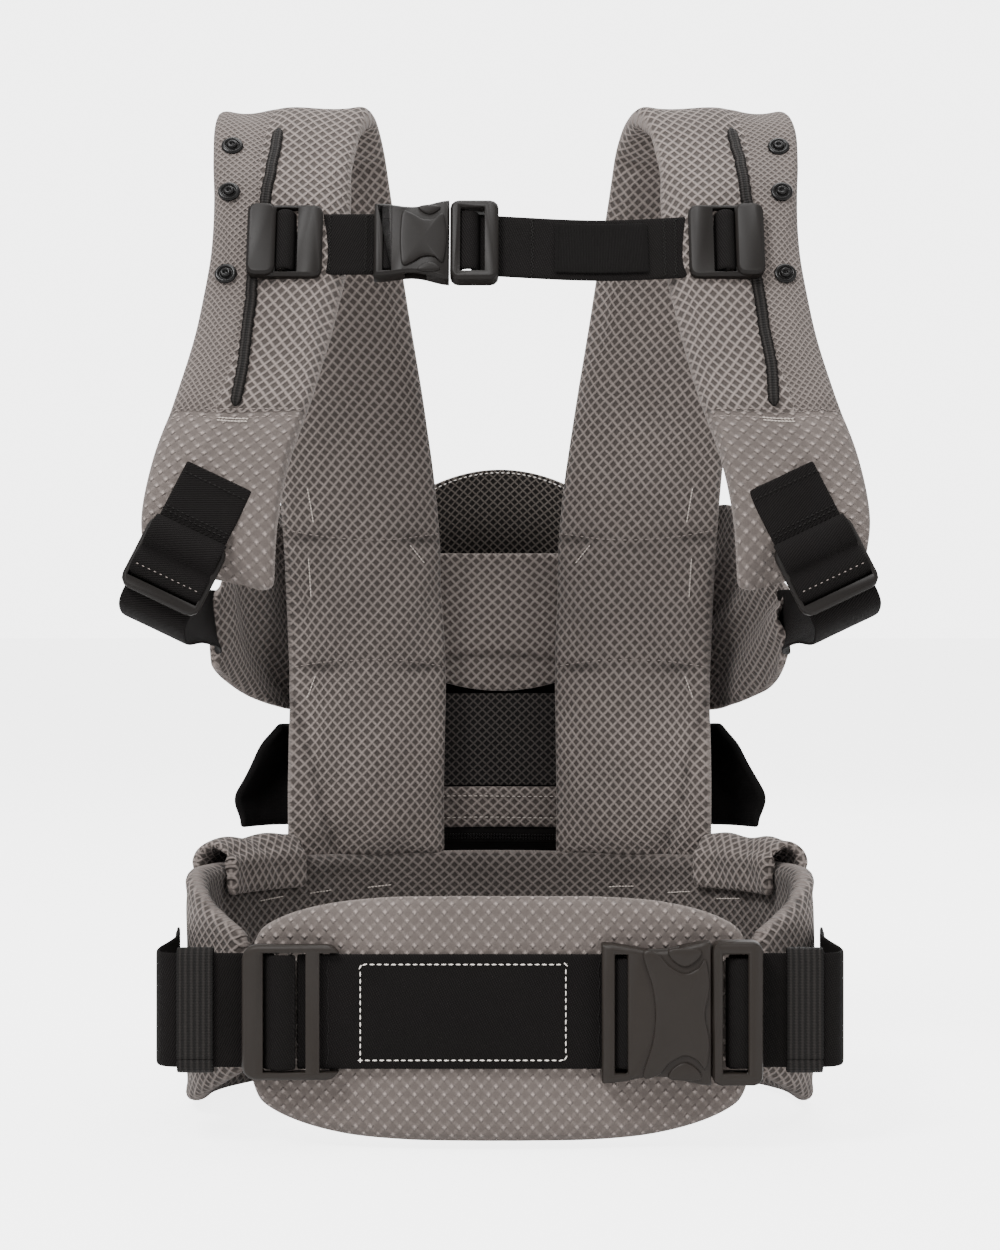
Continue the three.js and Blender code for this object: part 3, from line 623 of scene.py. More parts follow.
def stitches(name, rows, thread, slot, body, pitch=3.4, length=2.2, radius=0.3):
    """Rows of stitches along routes given in metres; without a body they are dressed but not attached to any
    body.
    """
    curve = bpy.data.curves.new(name, "CURVE")
    curve.dimensions = "3D"
    for row in rows:
        spline = curve.splines.new("POLY")
        spline.points.add(len(row) - 1)
        for point, spot in zip(spline.points, row):
            point.co = (*spot, 1)
    holder = bpy.data.objects.new(name + "_route", curve)
    bpy.context.scene.collection.objects.link(holder)
    modifier = holder.modifiers.new("stitches", "NODES")
    modifier.node_group = STITCH_TREE
    sizes = {"Pitch": pitch * MM, "Stitch Length": length / 2 * MM, "Thread Radius": radius * MM}
    for label, value in {**sizes, "Thread": thread}.items():
        modifier[STITCH_INPUTS[label]] = value
    graph = bpy.context.evaluated_depsgraph_get()
    mesh = bpy.data.meshes.new_from_object(holder.evaluated_get(graph))
    bpy.data.objects.remove(holder)
    mesh.name = name
    mesh.shade_smooth()
    piece = bpy.data.objects.new(name, mesh)
    bpy.context.scene.collection.objects.link(piece)
    return finish(piece, thread, slot, body) if body else dress(piece, thread, slot)


def crossed_box(piece, x, y_ends, z_ends, count):
    """Six rows on a piece's side: a box with both diagonals, from `count` points each."""
    (y0, y1), (z0, z1) = y_ends, z_ends
    t = np.linspace(0, 1, count)
    corners = (((y0, z0), (y0, z1)), ((y1, z0), (y1, z1)), ((y0, z0), (y1, z1)),
               ((y0, z1), (y1, z0)), ((y0, z0), (y1, z0)), ((y0, z1), (y1, z1)))
    return [on_face(piece, stack(x, mix(ya, yb, t), mix(za, zb, t)), ROW_LIFT)
            for (ya, za), (yb, zb) in corners]


# ---------------------------------------------------------------- padded pieces
BELT_HALF = (143, 94)
BELT_CENTRE_Y = -6
BELT_END = 38
BELT_TOP = 113
BELT_THICK = 10.5
BELT_WELT = 44  # how far from the belt's middle line its edge seams run
LUMBAR_HALF = 110
LUMBAR_Z = 56
PANEL_HALF = 138
PANEL_Y = 20
PANEL_LOW = 22
PANEL_TOP = 262
PANEL_TURN = 42  # degrees round from the middle to the panel's side edge
STRAP_THICK = 11
STRAP_SLOPE = 0.352
RIGHT_SPREAD = 5  # the right strap stands this much further out than the left
LOW_SEAM_Z = 205
HIGH_SEAM_Z = 272
CROSS_SEAM_Z = 319  # where the knit turns over to its reverse, above the ladder lock
RIDGE_Z = 470

# Middle line of a shoulder strap: distance out, y, z, half width, turn of its width in degrees.
STRAP_LINE = [
    [67.5, 77, 106, 43.5, 19], [67.5, 78, 160, 43.5, 19], [67.5, 79, 205, 43.5, 18],
    [70, 78, 255, 43.5, 17], [73, 74, 300, 43, 14], [78, 66, 345, 42, 10], [84, 54, 388, 40.5, 6],
    [89, 38, 428, 39, 3], [93, 16, 459, 38.5, 0], [96, -4, 470, 37.5, 0], [99, -22, 461, 35.5, 0],
    [101, -37, 442, 33.5, 0], [101, -44, 425, 33.3, 0], [101.5, -53.5, 398, 33.4, 0],
    [104, -61.24, 376, 33.5, 0], [107.6, -68.64, 355, 33.5, 0], [114.5, -78.14, 328, 33.5, 0],
    [123, -88, 300, 33, 0], [127, -95.5, 272, 31.5, 0], [126, -97.5, 251, 28.5, 0],
]


def strap_surface(side):
    def surface(u, v):
        row = smooth_line(STRAP_LINE, u)
        x, y, z, half, turn = (row[..., k] for k in range(5))
        spread = RIGHT_SPREAD * ease(-y, -20, 30) * (side > 0)
        angle = np.radians(turn)
        reach = half * (2 * v - 1)
        inward = 0.5 - side * reach / (2 * half)
        drop = 12 * ease(u, 0.93, 1) * inward
        return stack(side * (x + spread) + reach * np.cos(angle), y - side * reach * np.sin(angle), z - drop)
    return surface


def belt_surface(u, v):
    degrees = mix(-BELT_END, 180 + BELT_END, u)
    past = np.maximum(0, np.maximum(-degrees, degrees - 180)) / BELT_END
    top = mix(BELT_TOP, 88, past**1.3)
    bottom = mix(0, 26, past**1.6)
    angle = np.radians(degrees)
    x = BELT_HALF[0] * np.cos(angle)
    y = BELT_CENTRE_Y + BELT_HALF[1] * np.sin(angle)
    return stack(x, y, mix(bottom, top, v))


def lumbar_surface(u, v):
    x = mix(-LUMBAR_HALF, LUMBAR_HALF, u)
    share = np.abs(x) / LUMBAR_HALF
    half = 32 + 24 * np.maximum(1 - share**3, 0) ** 0.6
    return stack(x, -98 + 8 * share**3, LUMBAR_Z + half * (2 * v - 1))


def panel_depth(z):
    low = mix(82, 135, ease(z, 60, 170))
    return mix(low, 127, ease(z, 200, 290))


def panel_point(degrees, z, inward=0.0):
    angle = np.radians(degrees)
    x = (PANEL_HALF - inward) * np.sin(angle)
    return stack(x, PANEL_Y + (panel_depth(z) - inward) * np.cos(angle), z)


def outer_panel_surface(inward, trim):
    def surface(u, v):
        degrees = mix(PANEL_TURN - trim, -PANEL_TURN + trim, u)
        return panel_point(degrees, mix(PANEL_LOW + 2 * trim, PANEL_TOP - 2 * trim, v), inward)
    return surface


PANEL_EDGE = 40
TUCK = 4.4


def side_panel_surface(side):
    def surface(u, v):
        u = np.clip(u, 0, 1) if side < 0 else np.clip(1 - u, 0, 1)
        bottom = mix(180, 207, u**2.0)
        top = mix(268, 244, u**1.4) + 29 * np.sin(math.pi * u**0.8) ** 1.3
        z = mix(bottom, top, v)
        tucked = panel_point(side * mix(PANEL_EDGE, 88, u), z, TUCK)
        clear = panel_point(side * mix(PANEL_EDGE, 88, u), z)
        return tucked + (clear - tucked) * ease(u, 0.02, 0.16)[..., None]
    return surface


def leg_wing_surface(side):
    def surface(u, v):
        u = u if side < 0 else 1 - u
        z = mix(123, 176, v)
        inner = panel_point(side * PANEL_EDGE, z, TUCK)
        outer = stack(side * mix(145, 117, v), mix(80, 98, v), z)
        swell = np.sin(math.pi * np.clip(u, 0, 1)) * 8
        reach = u * (1 - 0.2 * (1 - ease(v, 0, 0.35)) - 0.12 * ease(v, 0.75, 1))
        return inner + (outer - inner) * reach[..., None] + stack(side * swell * 0.5, swell, 0 * swell)
    return surface


# The sleeve's section over the belt's top edge: distance out from the belt's middle, and z.
SLEEVE_SECTION = [
    [9.4, 88], [9.8, 98], [9.6, 108], [7.6, 116.5], [0, 121], [-7.6, 116], [-9.4, 108], [-9.2, 96],
]


def leg_tab_surface(side):
    def surface(u, v):
        u = u if side < 0 else 1 - u
        angle = np.radians(mix(44, 13, u))
        section = smooth_line(SLEEVE_SECTION, v)
        ring = stack(side * BELT_HALF[0] * np.cos(angle), BELT_CENTRE_Y + BELT_HALF[1] * np.sin(angle), 0)
        out = unit(stack(side * np.cos(angle) / BELT_HALF[0], np.sin(angle) / BELT_HALF[1], 0))
        point = ring + out * section[..., :1]
        point[..., 2] = section[..., 1]
        return point
    return surface


CHEST_HALF = 48
CHEST_CURVE = (152, 108)


def chest_depth(x):
    """How far forward the pieces between the two straps stand at x."""
    across, forward = CHEST_CURVE
    return BELT_CENTRE_Y + forward * np.sqrt(1 - (x / across) ** 2)


def chest_piece_surface(bottom, top, arch=0.0):
    def surface(u, v):
        x = mix(-CHEST_HALF, CHEST_HALF, u)
        dip = arch * (1 - (x / CHEST_HALF) ** 2)
        return stack(x, chest_depth(x), mix(bottom + dip, top, v))
    return surface


HEAD_LOW = 263
HEAD_TOP = 312
HEAD_LEAN = 0.1


def head_top(degrees):
    """Height of the head support's arched edge, round from its middle."""
    return HEAD_TOP - 55 * (degrees / 38) ** 2


def head_point(degrees, z, inward):
    point = panel_point(degrees, z, inward)
    point[..., 1] -= (z - HEAD_LOW) * HEAD_LEAN
    return point


def head_surface(inward, trim):
    def surface(u, v):
        degrees = mix(33 - trim, -33 + trim, u)
        top = head_top(degrees) - trim
        return head_point(degrees, mix(HEAD_LOW + trim / 2, np.maximum(top, HEAD_LOW + 6), v), inward)
    return surface


def lattice_zone(shade=0.0):
    """The whole piece shows the knit's lattice face, this much in shade."""
    return lambda x, s, side: (-5 + 0 * x, -5 + 0 * x, shade + 0 * x)


def all_reverse(x, s, side):
    """The whole piece shows the knit's dotted reverse."""
    return 5 + 0 * x, -5 + 0 * x, 0 * x


def share_at(surface, height, low, high):
    """Distance along a strap at which its middle is at a height, between two shares of it."""
    shares, travel = travel_of(surface, 800)
    z = surface(shares, np.full(800, 0.5))[:, 2]
    inside = (shares >= low) & (shares <= high)
    return float(travel[inside][np.argmin(np.abs(z[inside] - height))])


def on_surface(surface, x, s, travelled, lift=8):
    """Points lifted off a surface, from x across it and s along it; the lift's sign picks the face."""
    shares, travel = travelled
    x, s = np.broadcast_arrays(np.asarray(x, float), np.asarray(s, float))
    u = np.interp(s, travel, shares)
    width = np.linalg.norm(surface(u, np.ones_like(u)) - surface(u, np.zeros_like(u)), axis=-1)
    v = 0.5 + x / width
    return surface(u, v) + surface_normal(surface, u, v) * lift


def outward_sign(side):
    """1 if the strap's surface normal leaves its outer face, else -1."""
    surface = strap_surface(side)
    middle = np.array([0.75]), np.array([0.5])
    return 1 if surface_normal(surface, *middle)[0, 1] < 0 else -1


def stuffed(name, surface, thick, cell, dent, zone, cap, look, body, node, slot="grey_mesh"):
    """A padded piece: a sheet of the thickness, swelled over its filling by up to `cap` and smoothed."""
    piece = pad(name, surface, thick, cell, dent, zone)
    puff(piece, cap)
    refine(piece)
    return finish(piece, look, slot, body, node)


def shoulder_strap(name, side):
    surface = strap_surface(side)
    travelled = travel_of(surface, 800)
    low, high = (share_at(surface, z, 0, 0.45) for z in (LOW_SEAM_Z, HIGH_SEAM_Z))
    cross = share_at(surface, CROSS_SEAM_Z, 0.55, 1)
    ridge = share_at(surface, RIDGE_Z, 0.4, 0.6)
    length = travelled[1][-1]
    outer_face = 1 if outward_sign(side) > 0 else 0

    def bow(x):
        return 3 * np.cos(x / 22)

    def slant(x, s):
        """Distance from the steep seam that crosses the pad's outer low corner."""
        return side * x - 43 + (84 - s) * 0.31 + 900 * (s > 86)

    seams = (
        (lambda x, s: s - low - bow(x)), (lambda x, s: s - high + bow(x)), (lambda x, s: s - cross), slant,
        (lambda x, s: s - ridge + 30),
    )

    def dent(x, s, facing):
        fold = sum(1.7 * bell(line(x, s), 2.3) for line in seams)
        outward = side * x
        gutter = 1.3 * bell(outward - 8 - 4 * ease(s, cross - 60, cross), 1.8) * (s > ridge + 5) * (s < cross)
        slack = 0.8 * np.sin(s / 11 + outward / 17) * np.sin(outward / 9 + s / 29)
        slack = slack + 1.3 * np.sin(s / 26 + outward / 13) * np.sin(outward / 21 - s / 47)
        welt = -0.9 * bell(np.abs(x) - (43 - 9 * (s > ridge)), 6)
        return fold + gutter * (facing == outer_face) + slack + welt

    def zone(x, s, facing):
        outward = side * x
        near = (facing == outer_face) & (s > ridge - 30)
        reverse = np.where(near, s - cross, -5)
        dense = np.where(near, outward - 9, -5)
        # Painted shade: darker along the seams, on the far pads low down, on the inner lattice band of the
        # outer face and towards the strap's end.
        crease_shade = sum(0.85 * bell(line(x, s), 1.3) for line in seams)
        far_pad_shade = 0.36 * (1 - ease(s, ridge - 150, ridge - 20)) * ease(s, 60, 120)
        inner_shade = 0.2 * (dense < 0) * (s > ridge) * (facing == outer_face)
        end = 0.1 * ease(s, length - 30, length)
        shade = np.clip(crease_shade + far_pad_shade + inner_shade + end, 0, 1)
        return np.clip(reverse, -5, 5), np.clip(dense, -5, 5), shade

    piece = stuffed(f"shoulder_strap_{name}_padding", surface, STRAP_THICK - 1.5, 4.2, dent, zone, 2.5,
                    GREY, "carrier", f"shoulder_strap_{name}")
    strap_stitches(name, side, piece, surface, travelled, (low, high, cross), bow)
    rail(name, side, piece)


def strap_stitches(name, side, piece, surface, travelled, heights, bow):
    """The stitch rows beside the strap's seams and the bar tacks that hold its layers together."""
    low, high, cross = heights
    out = outward_sign(side)

    def row_on(x, s, face, lift=ROW_LIFT):
        return on_face(piece, on_surface(surface, x, s, travelled, 8 * face), lift)

    wide = np.linspace(-40, 40, 40)
    narrow = np.linspace(-28, 28, 30)
    rows = [
        row_on(wide, low + bow(wide) + 1.8, -out), row_on(wide, high - bow(wide) + 1.8, -out),
        row_on(narrow, cross - 1.8, out), row_on(narrow, cross + 2.4, out),
    ]
    stitches(f"strap_seams_{name}", rows, GREY_THREAD, "grey_mesh", "carrier", 2.8, 1.9, 0.26)
    bars = []
    for x0, s0, x1, s1, face in (
        (-6, cross + 2.4, 6, cross + 3.2, out), (-6, cross + 3.8, 6, cross + 4.6, out),
        (side * 30, high - 30, side * 30, high - 12, -out), (side * 26, high + 8, side * 27, high + 24, -out),
        (-side * 30, high - 12, -side * 24, high - 4, -out), (side * 34, low - 14, side * 30, low - 4, -out),
    ):
        t = np.linspace(0, 1, 8)
        bars.append(row_on(mix(x0, x1, t), mix(s0, s1, t), face, 0.25))
    stitches(f"strap_bar_tacks_{name}", bars, PALE_THREAD, "grey_mesh", "carrier", 1.5, 1.7, 0.36)


RAIL_X = 110
RAIL_SLANT = 0.092


def rail_x(side, z):
    return side * (RAIL_X + (398 - z) * RAIL_SLANT) + (RIGHT_SPREAD if side > 0 else 0)


def rail(name, side, strap):
    """Two ribbed cords side by side, sewn down the face of the strap, that the chest slider rides on."""
    surface = strap_surface(side)
    shares, travel = travelled = travel_of(surface, 1600)
    spine = surface(shares, np.full(len(shares), 0.5))
    near = (shares > 0.52) & (shares < 0.97)
    z = np.linspace(458, 322, 90)
    s = np.interp(-z, -spine[near, 2], travel[near])
    x = rail_x(side, z) + 0.5 * np.sin(z / 13) + 0.25 * np.sin(z / 5.3)
    across_strap = x - np.interp(s, travel, spine[:, 0])
    lifted = on_surface(surface, across_strap, s, travelled, 8 * outward_sign(side))
    middle = np.array(on_face(strap, lifted, 0)) / MM - SHIFT / MM
    around = np.linspace(0, 2 * math.pi, 25)[:-1]
    points = []
    for i, spot in enumerate(middle):
        ahead = unit(middle[min(i + 1, len(middle) - 1)] - middle[max(i - 1, 0)])
        across = unit(np.cross(ahead, np.array([0, -1, 0])))
        out = np.cross(across, ahead)
        out = out if out[1] < 0 else -out
        taper = min(1, 0.25 + i / 2, 0.25 + (len(middle) - 1 - i) / 2)
        rib = 1 + 0.06 * math.sin(i * 2.1)
        wide = 2.6 * np.cos(around) * taper * rib
        groove = 0.35 + 0.65 * np.abs(np.sin(around)) * (1 - 0.45 * np.exp(-(wide / 0.7) ** 2))
        high = 0.9 + 1.5 * np.sign(np.sin(around)) * groove * np.abs(np.sin(around)) ** 0.6 * taper
        points += [spot + across * w + out * h for w, h in zip(wide, high)]
    count = len(around)
    along = np.repeat(np.arange(len(middle)) * 1.6, count)
    across_mm = np.tile(2.6 * np.cos(around), len(middle))
    weave = np.stack([across_mm, along, np.ones_like(along)], -1)
    faces = tube_faces(len(middle), count)
    piece = new_object(f"chest_rail_{name}_cords", place(points), faces, {"weave": weave})
    finish(piece, ELASTIC, "elastic", "carrier", f"chest_rail_{name}")


def lathe(name, profile, at, axis, look, slot, body, *replaced, segments=40):
    """A turned shape from rows of (radius, height) in millimetres, about an axis leaving `at` in metres."""
    axis = Vector(axis).normalized()
    turn = axis.to_track_quat("Z", "Y").to_matrix()
    points = []
    for radius, height in profile:
        for k in range(segments):
            angle = 2 * math.pi * k / segments
            local = Vector((radius * math.cos(angle), radius * math.sin(angle), height)) * MM
            points.append(Vector(at) + turn @ local)
    piece = new_object(name, points, tube_faces(len(profile), segments), {})
    return finish(piece, look, slot, body, *replaced)


SNAP_PROFILE = [
    (4.6, -0.2), (5.0, 0.1), (5.05, 0.6), (4.8, 1.0), (4.3, 1.25), (3.7, 1.3), (3.3, 1.1), (3.1, 0.7),
    (2.8, 0.6), (2.5, 0.8), (2.35, 1.5), (2.2, 2.0), (1.8, 2.25), (1.3, 2.2), (1.0, 1.9), (0.9, 1.2),
    (0.4, 1.1), (0.05, 1.1),
]


def snaps():
    """Ring snaps standing on the face of each finished strap."""
    for name, side in SIDES.items():
        strap = bpy.data.objects[f"shoulder_strap_{name}_padding"]
        graph = bpy.context.evaluated_depsgraph_get()
        tree = BVHTree.FromObject(strap, graph)
        for number in (1, 2, 3):
            node = f"snap_{name}_{number}"
            low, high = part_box(node)
            spot, normal, _, _ = tree.find_nearest((low + high) / 2)
            axis = (normal + Vector((0, -1, 0.5))).normalized()
            foot = spot + axis * 0.3 * MM
            lathe(node + "_cap", SNAP_PROFILE, foot, axis, SNAP_PLASTIC, "snap", "carrier", node)


def belt_zone(x, s, side):
    """Painted shade: a little over the whole belt, more on its inner face and along its welt seams."""
    inner_face = 1 if surface_normal(belt_surface, np.array([0.5]), np.array([0.5]))[0, 1] < 0 else 0
    return -5 + 0 * x, -5 + 0 * x, 0.12 + 0.62 * (side == inner_face) + 0.6 * bell(np.abs(x) - BELT_WELT, 1.2)


def belt_dent(x, s, side):
    welt = 1.2 * bell(np.abs(x) - BELT_WELT, 1.8) - 0.9 * bell(np.abs(x) - BELT_WELT - 7, 4)
    return welt + 0.5 * np.sin(s / 14 + x / 21) * np.sin(x / 13)


def band_arch(x, s):
    """Distance from the arched seam across the chest band."""
    return x + 29 - 12 * (1 - ((s - 48) / 48) ** 2)


def band_zone(x, s, side):
    # Painted shade: a little over the whole band, more along its arched seam and a little more below the
    # seam.
    below = band_arch(x, s) < 0
    return -5 + 0 * x, -5 + 0 * x, np.clip(0.2 + 0.7 * bell(band_arch(x, s), 1.3) + 0.12 * below, 0, 1)


def band_dent(x, s, side):
    return 1.2 * bell(band_arch(x, s), 1.6) + 0.3 * np.sin(s / 11 + x / 9)


def seat_band_zone(x, s, side):
    rows = bell(np.abs(x) - 5.5, 0.8)
    # Painted shade: a little over the whole band, more along its two stitch rows.
    return -5 + 0 * x, -5 + 0 * x, 0.22 + 0.35 * rows


def rumple(depth, pitch, slant):
    """Soft slanting folds across a slack piece."""
    def dent(x, s, side):
        wave = np.sin((s + slant * x) / pitch + 1.3 * np.sin(x / (pitch * 2.3)))
        return depth * wave * (2 * side - 1)
    return dent


def lumbar_dent(x, s, side):
    return 0.5 * np.sin(s / 23 + x / 15) * np.sin(x / 17) * side


def sleeve_dent(x, s, side):
    groove = 1.8 * bell(x - 14, 1.5) + 1.8 * bell(x + 14, 1.5)
    return groove - 1.2 * bell(np.abs(x) - 20, 4) + 0.7 * np.sin(s / 4.5 + x / 7)


def waist_pads():
    belt = stuffed("waist_belt_padding", belt_surface, BELT_THICK, 5.5, belt_dent, belt_zone, 1.6, GREY,
                   "carrier", "waist_belt")
    tacks = []
    for x in (-112, -88, -60, 60, 88, 112):
        f = np.linspace(0, 1, 8)
        across = x + mix(-5, 5, f)
        inner_y = BELT_CENTRE_Y + BELT_HALF[1] * np.sqrt(1 - (across / BELT_HALF[0]) ** 2) - 12
        tacks.append(on_face(belt, stack(across, inner_y, 98 - abs(x) * 0.06 + f), 0.25))
    stitches("belt_bar_tacks", tacks, PALE_THREAD, "grey_mesh", "carrier", 1.6, 1.7, 0.34)

    stuffed("lumbar_pad_padding", lumbar_surface, 12, 4, lumbar_dent, all_reverse, 4, GREY,
            "carrier", "lumbar_pad")


def baby_panel():
    outer = stuffed("outer_panel_padding", outer_panel_surface(0, 0), 5, 5, rumple(0.6, 19, 0.6),
                    lattice_zone(0.1), 2, GREY, "carrier", "outer_panel")
    rows = []
    for inset in (5, 8):
        edge = PANEL_TURN - inset / 2.6
        low, high = PANEL_LOW + 2 + inset, PANEL_TOP - inset
        z = np.linspace(low, high, 90)
        for degrees in (edge, -edge):
            rows.append(on_face(outer, panel_point(np.full(90, degrees), z, -8), ROW_LIFT))
        across = np.linspace(-edge, edge, 90)
        for height in (high, low):
            rows.append(on_face(outer, panel_point(across, np.full(90, height), -8), ROW_LIFT))
    stitches("outer_panel_edge_stitch", rows, PALE_THREAD, "grey_mesh", "carrier", 3.2, 2.2, 0.3)

    inside = outer_panel_surface(6, 1)
    lining = pad("outer_panel_lining", inside, 1.4, 6)
    refine(lining)
    finish(lining, LINING, "black_lining", "carrier", "panel_lining")
    flat_size(inside)


def wings_and_sleeves():
    for name, side in SIDES.items():
        stuffed(f"side_wing_{name}", side_panel_surface(side), 3.6, 3.4, rumple(2.0, 7, side * 0.9),
                lattice_zone(0.3), 2, GREY, "carrier", f"side_panel_{name}")
        stuffed(f"leg_opening_edge_{name}", leg_wing_surface(side), 4.4, 3, rumple(0.5, 7, 0.4),
                None, 2, LINING, "carrier", f"leg_wing_{name}", slot="black_lining")
        stuffed(f"leg_sleeve_{name}", leg_tab_surface(side), 4.6, 1.8, sleeve_dent,
                lattice_zone(0.12), 1.5, GREY, "carrier", f"leg_tab_{name}")


def chest_rows(piece, *heights):
    """Level rows across the face of a piece that is next to the wearer."""
    x = np.linspace(-46, 46, 60)
    return [on_face(piece, stack(x, chest_depth(x) - 8, z + 0 * x), ROW_LIFT) for z in heights]


def chest_middle():
    """The pieces between the two shoulder straps, one above another."""
    for name, node, bottom, top, thick, arch, look, slot in (
        ("chest_band", "inner_band", 205, 265, 3.6, -12, GREY, "dark_mesh"),
        ("breathing_window", "mesh_window", 144, 192, 1.6, 0, NET, "black_mesh"),
        ("seat_band", "lower_band", 122, 143.5, 3.6, 0, GREY, "dark_mesh"),
        ("seat_zip_tape", "seat_zip", 113.6, 121.5, 2.4, 0, BINDING, "zip"),
    ):
        zone = {"chest_band": band_zone, "seat_band": seat_band_zone}.get(name)
        dent = band_dent if name == "chest_band" else rumple(0.35, 11, 0.4)
        surface = chest_piece_surface(bottom, top, arch)
        piece = pad(name, surface, thick, 2.4, dent, zone)
        refine(piece)
        finish(piece, look, slot, "carrier", node)
        if name == "breathing_window":
            flat_size(surface)
        if name == "seat_band":
            rows = chest_rows(piece, 127.3, 138.4)
            stitches("seat_band_stitch", rows, PALE_THREAD, "dark_mesh", "carrier", 2.8, 1.9, 0.28)
        if name == "seat_zip_tape":
            rows = chest_rows(piece, 116.6, 118.2)
            stitches("seat_zip_coil", rows, SNAP_PLASTIC, "zip", "carrier", 1.5, 1.1, 0.62)


def head_support():
    stuffed("head_support_padding", head_surface(0, 0), 4.2, 4.5, None, lattice_zone(), 2, GREY,
            "head", "head_support")
    inside = head_surface(3.7, 1)
    net = pad("head_support_mesh", inside, 1.3, 4.5)
    refine(net)
    finish(net, HEAD_NET, "black_mesh", "head", "head_mesh")
    width, length = flat_size(inside)
    degrees = np.linspace(30.5, -30.5, 80)
    z = head_top(degrees) - 3.2
    rows = [on_face(net, head_point(degrees, z, inward), ROW_LIFT) for inward in (-6, 9)]
    stitches("head_support_edge_stitch", rows, WHITE_THREAD, "grey_mesh", "head", 2.9, 1.9)


# ---------------------------------------------------------------- webbing
def ribbon_surface(route, width, across):
    """Webbing along a route of design points; across is its width direction, or one at each end."""
    ends = across if isinstance(across[0], tuple) else (across, across)
    first, last = (np.array(end, float) for end in ends)

    def surface(u, v):
        u = np.asarray(u, float)
        middle = smooth_line(route, u)
        tangent = unit(smooth_line(route, u + 0.01) - smooth_line(route, u - 0.01))
        side = mix(first, last, ease(u, 0.3, 0.9)[..., None])
        side = unit(side - tangent * np.sum(side * tangent, -1, keepdims=True))
        return middle + side * (width * (v - 0.5))[..., None]
    return surface


def tape(name, route, width, across, slot, body, *replaced, thick=1.7, look=TAPE):
    """One run of webbing; without a body it is dressed but not attached to any body."""
    piece = pad(name, ribbon_surface(route, width, across), thick, 3, edge=2)
    refine(piece)
    return finish(piece, look, slot, body, *replaced) if body else dress(piece, look, slot, *replaced)


WAIST_WIDTH = 50
CHEST_WIDTH = 31
LOCK_WIDTH = 32
WAIST_Y = -110
WAIST_Z = 60
TAIL_Y = -105.8
SLOPE_LENGTH = math.hypot(1, STRAP_SLOPE)
CHEST_UP = np.array([0, STRAP_SLOPE, 1]) / SLOPE_LENGTH
CHEST_OUT = np.array([0, -1, STRAP_SLOPE]) / SLOPE_LENGTH
CHEST_AT = np.array([0, -53.5, 398]) + CHEST_OUT * STRAP_THICK / 2


def on_waist(x, up, out):
    return [x, WAIST_Y - out, WAIST_Z + up]


def on_chest(x, up, out):
    return list(np.array([x, 0, 0]) + CHEST_AT + CHEST_UP * up + CHEST_OUT * out)


def lock_axes(side):
    down = unit(np.array([side * 0.42, -0.2, -0.88]))
    across = unit(np.array([1, 0, side * 0.46]))
    across = unit(across - down * np.dot(across, down))
    out = np.cross(across, -down)
    return across, -down, out, np.array([side * 131, -103, 275])


def on_lock(side, x, up, out):
    across, up_way, out_way, origin = lock_axes(side)
    return list(origin + across * x + up_way * up + out_way * out)


def spread_chest(piece):
    """Bakes the piece's transform into its mesh; the long chest webbing runs between the plug and the slider
    at its far end.
    """
    held, pulled = place(on_chest(98, 0, 0)), place(on_chest(-8, 0, 0))
    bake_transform(piece)


def sag(x):
    """How far the chest webbing hangs below a straight line between its sliders."""
    return -3.2 * math.sin(math.pi * (x + 12) / 115) if x > -12 else 0.0


def waist_webbings():
    up = (0, 0, 1)
    route = [on_waist(x, 0, 0) for x in (-88, -40, 10, 53.5)]
    tape("waist_webbing_tape", route, WAIST_WIDTH, up, "webbing", "carrier", "waist_webbing")
    fold = [(-104, -3.4), (-101.5, 0.5), (-98.5, 3.3), (-95, 3.9), (-91.5, 3.2), (-88.5, 2.2)]
    route = [on_waist(x, 0, out) for x, out in fold]
    tape("waist_slider_fold", route, WAIST_WIDTH, up, "webbing", "waist_slider", "triglide_loop")
    corner = [(120, TAIL_Y), (134, TAIL_Y), (142, TAIL_Y), (147.5, -103), (150.2, -96), (150.5, -84),
              (149, -66), (148.4, -48), (150, -32), (152, -15)]
    left = [[-x, y, WAIST_Z] for x, y in [(98, TAIL_Y), (109, TAIL_Y)] + corner]
    tape("belt_webbing_left_tape", left, WAIST_WIDTH, up, "webbing", "carrier", "belt_webbing_left")
    from_plug = [(99, WAIST_Y), (104, WAIST_Y), (108.5, -108.2), (112.5, -106.1)]
    right = [[x, y, WAIST_Z] for x, y in from_plug + corner]
    piece = tape("belt_webbing_right_tape", right, WAIST_WIDTH, up, "webbing", None, "belt_webbing_right")
    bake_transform(piece)


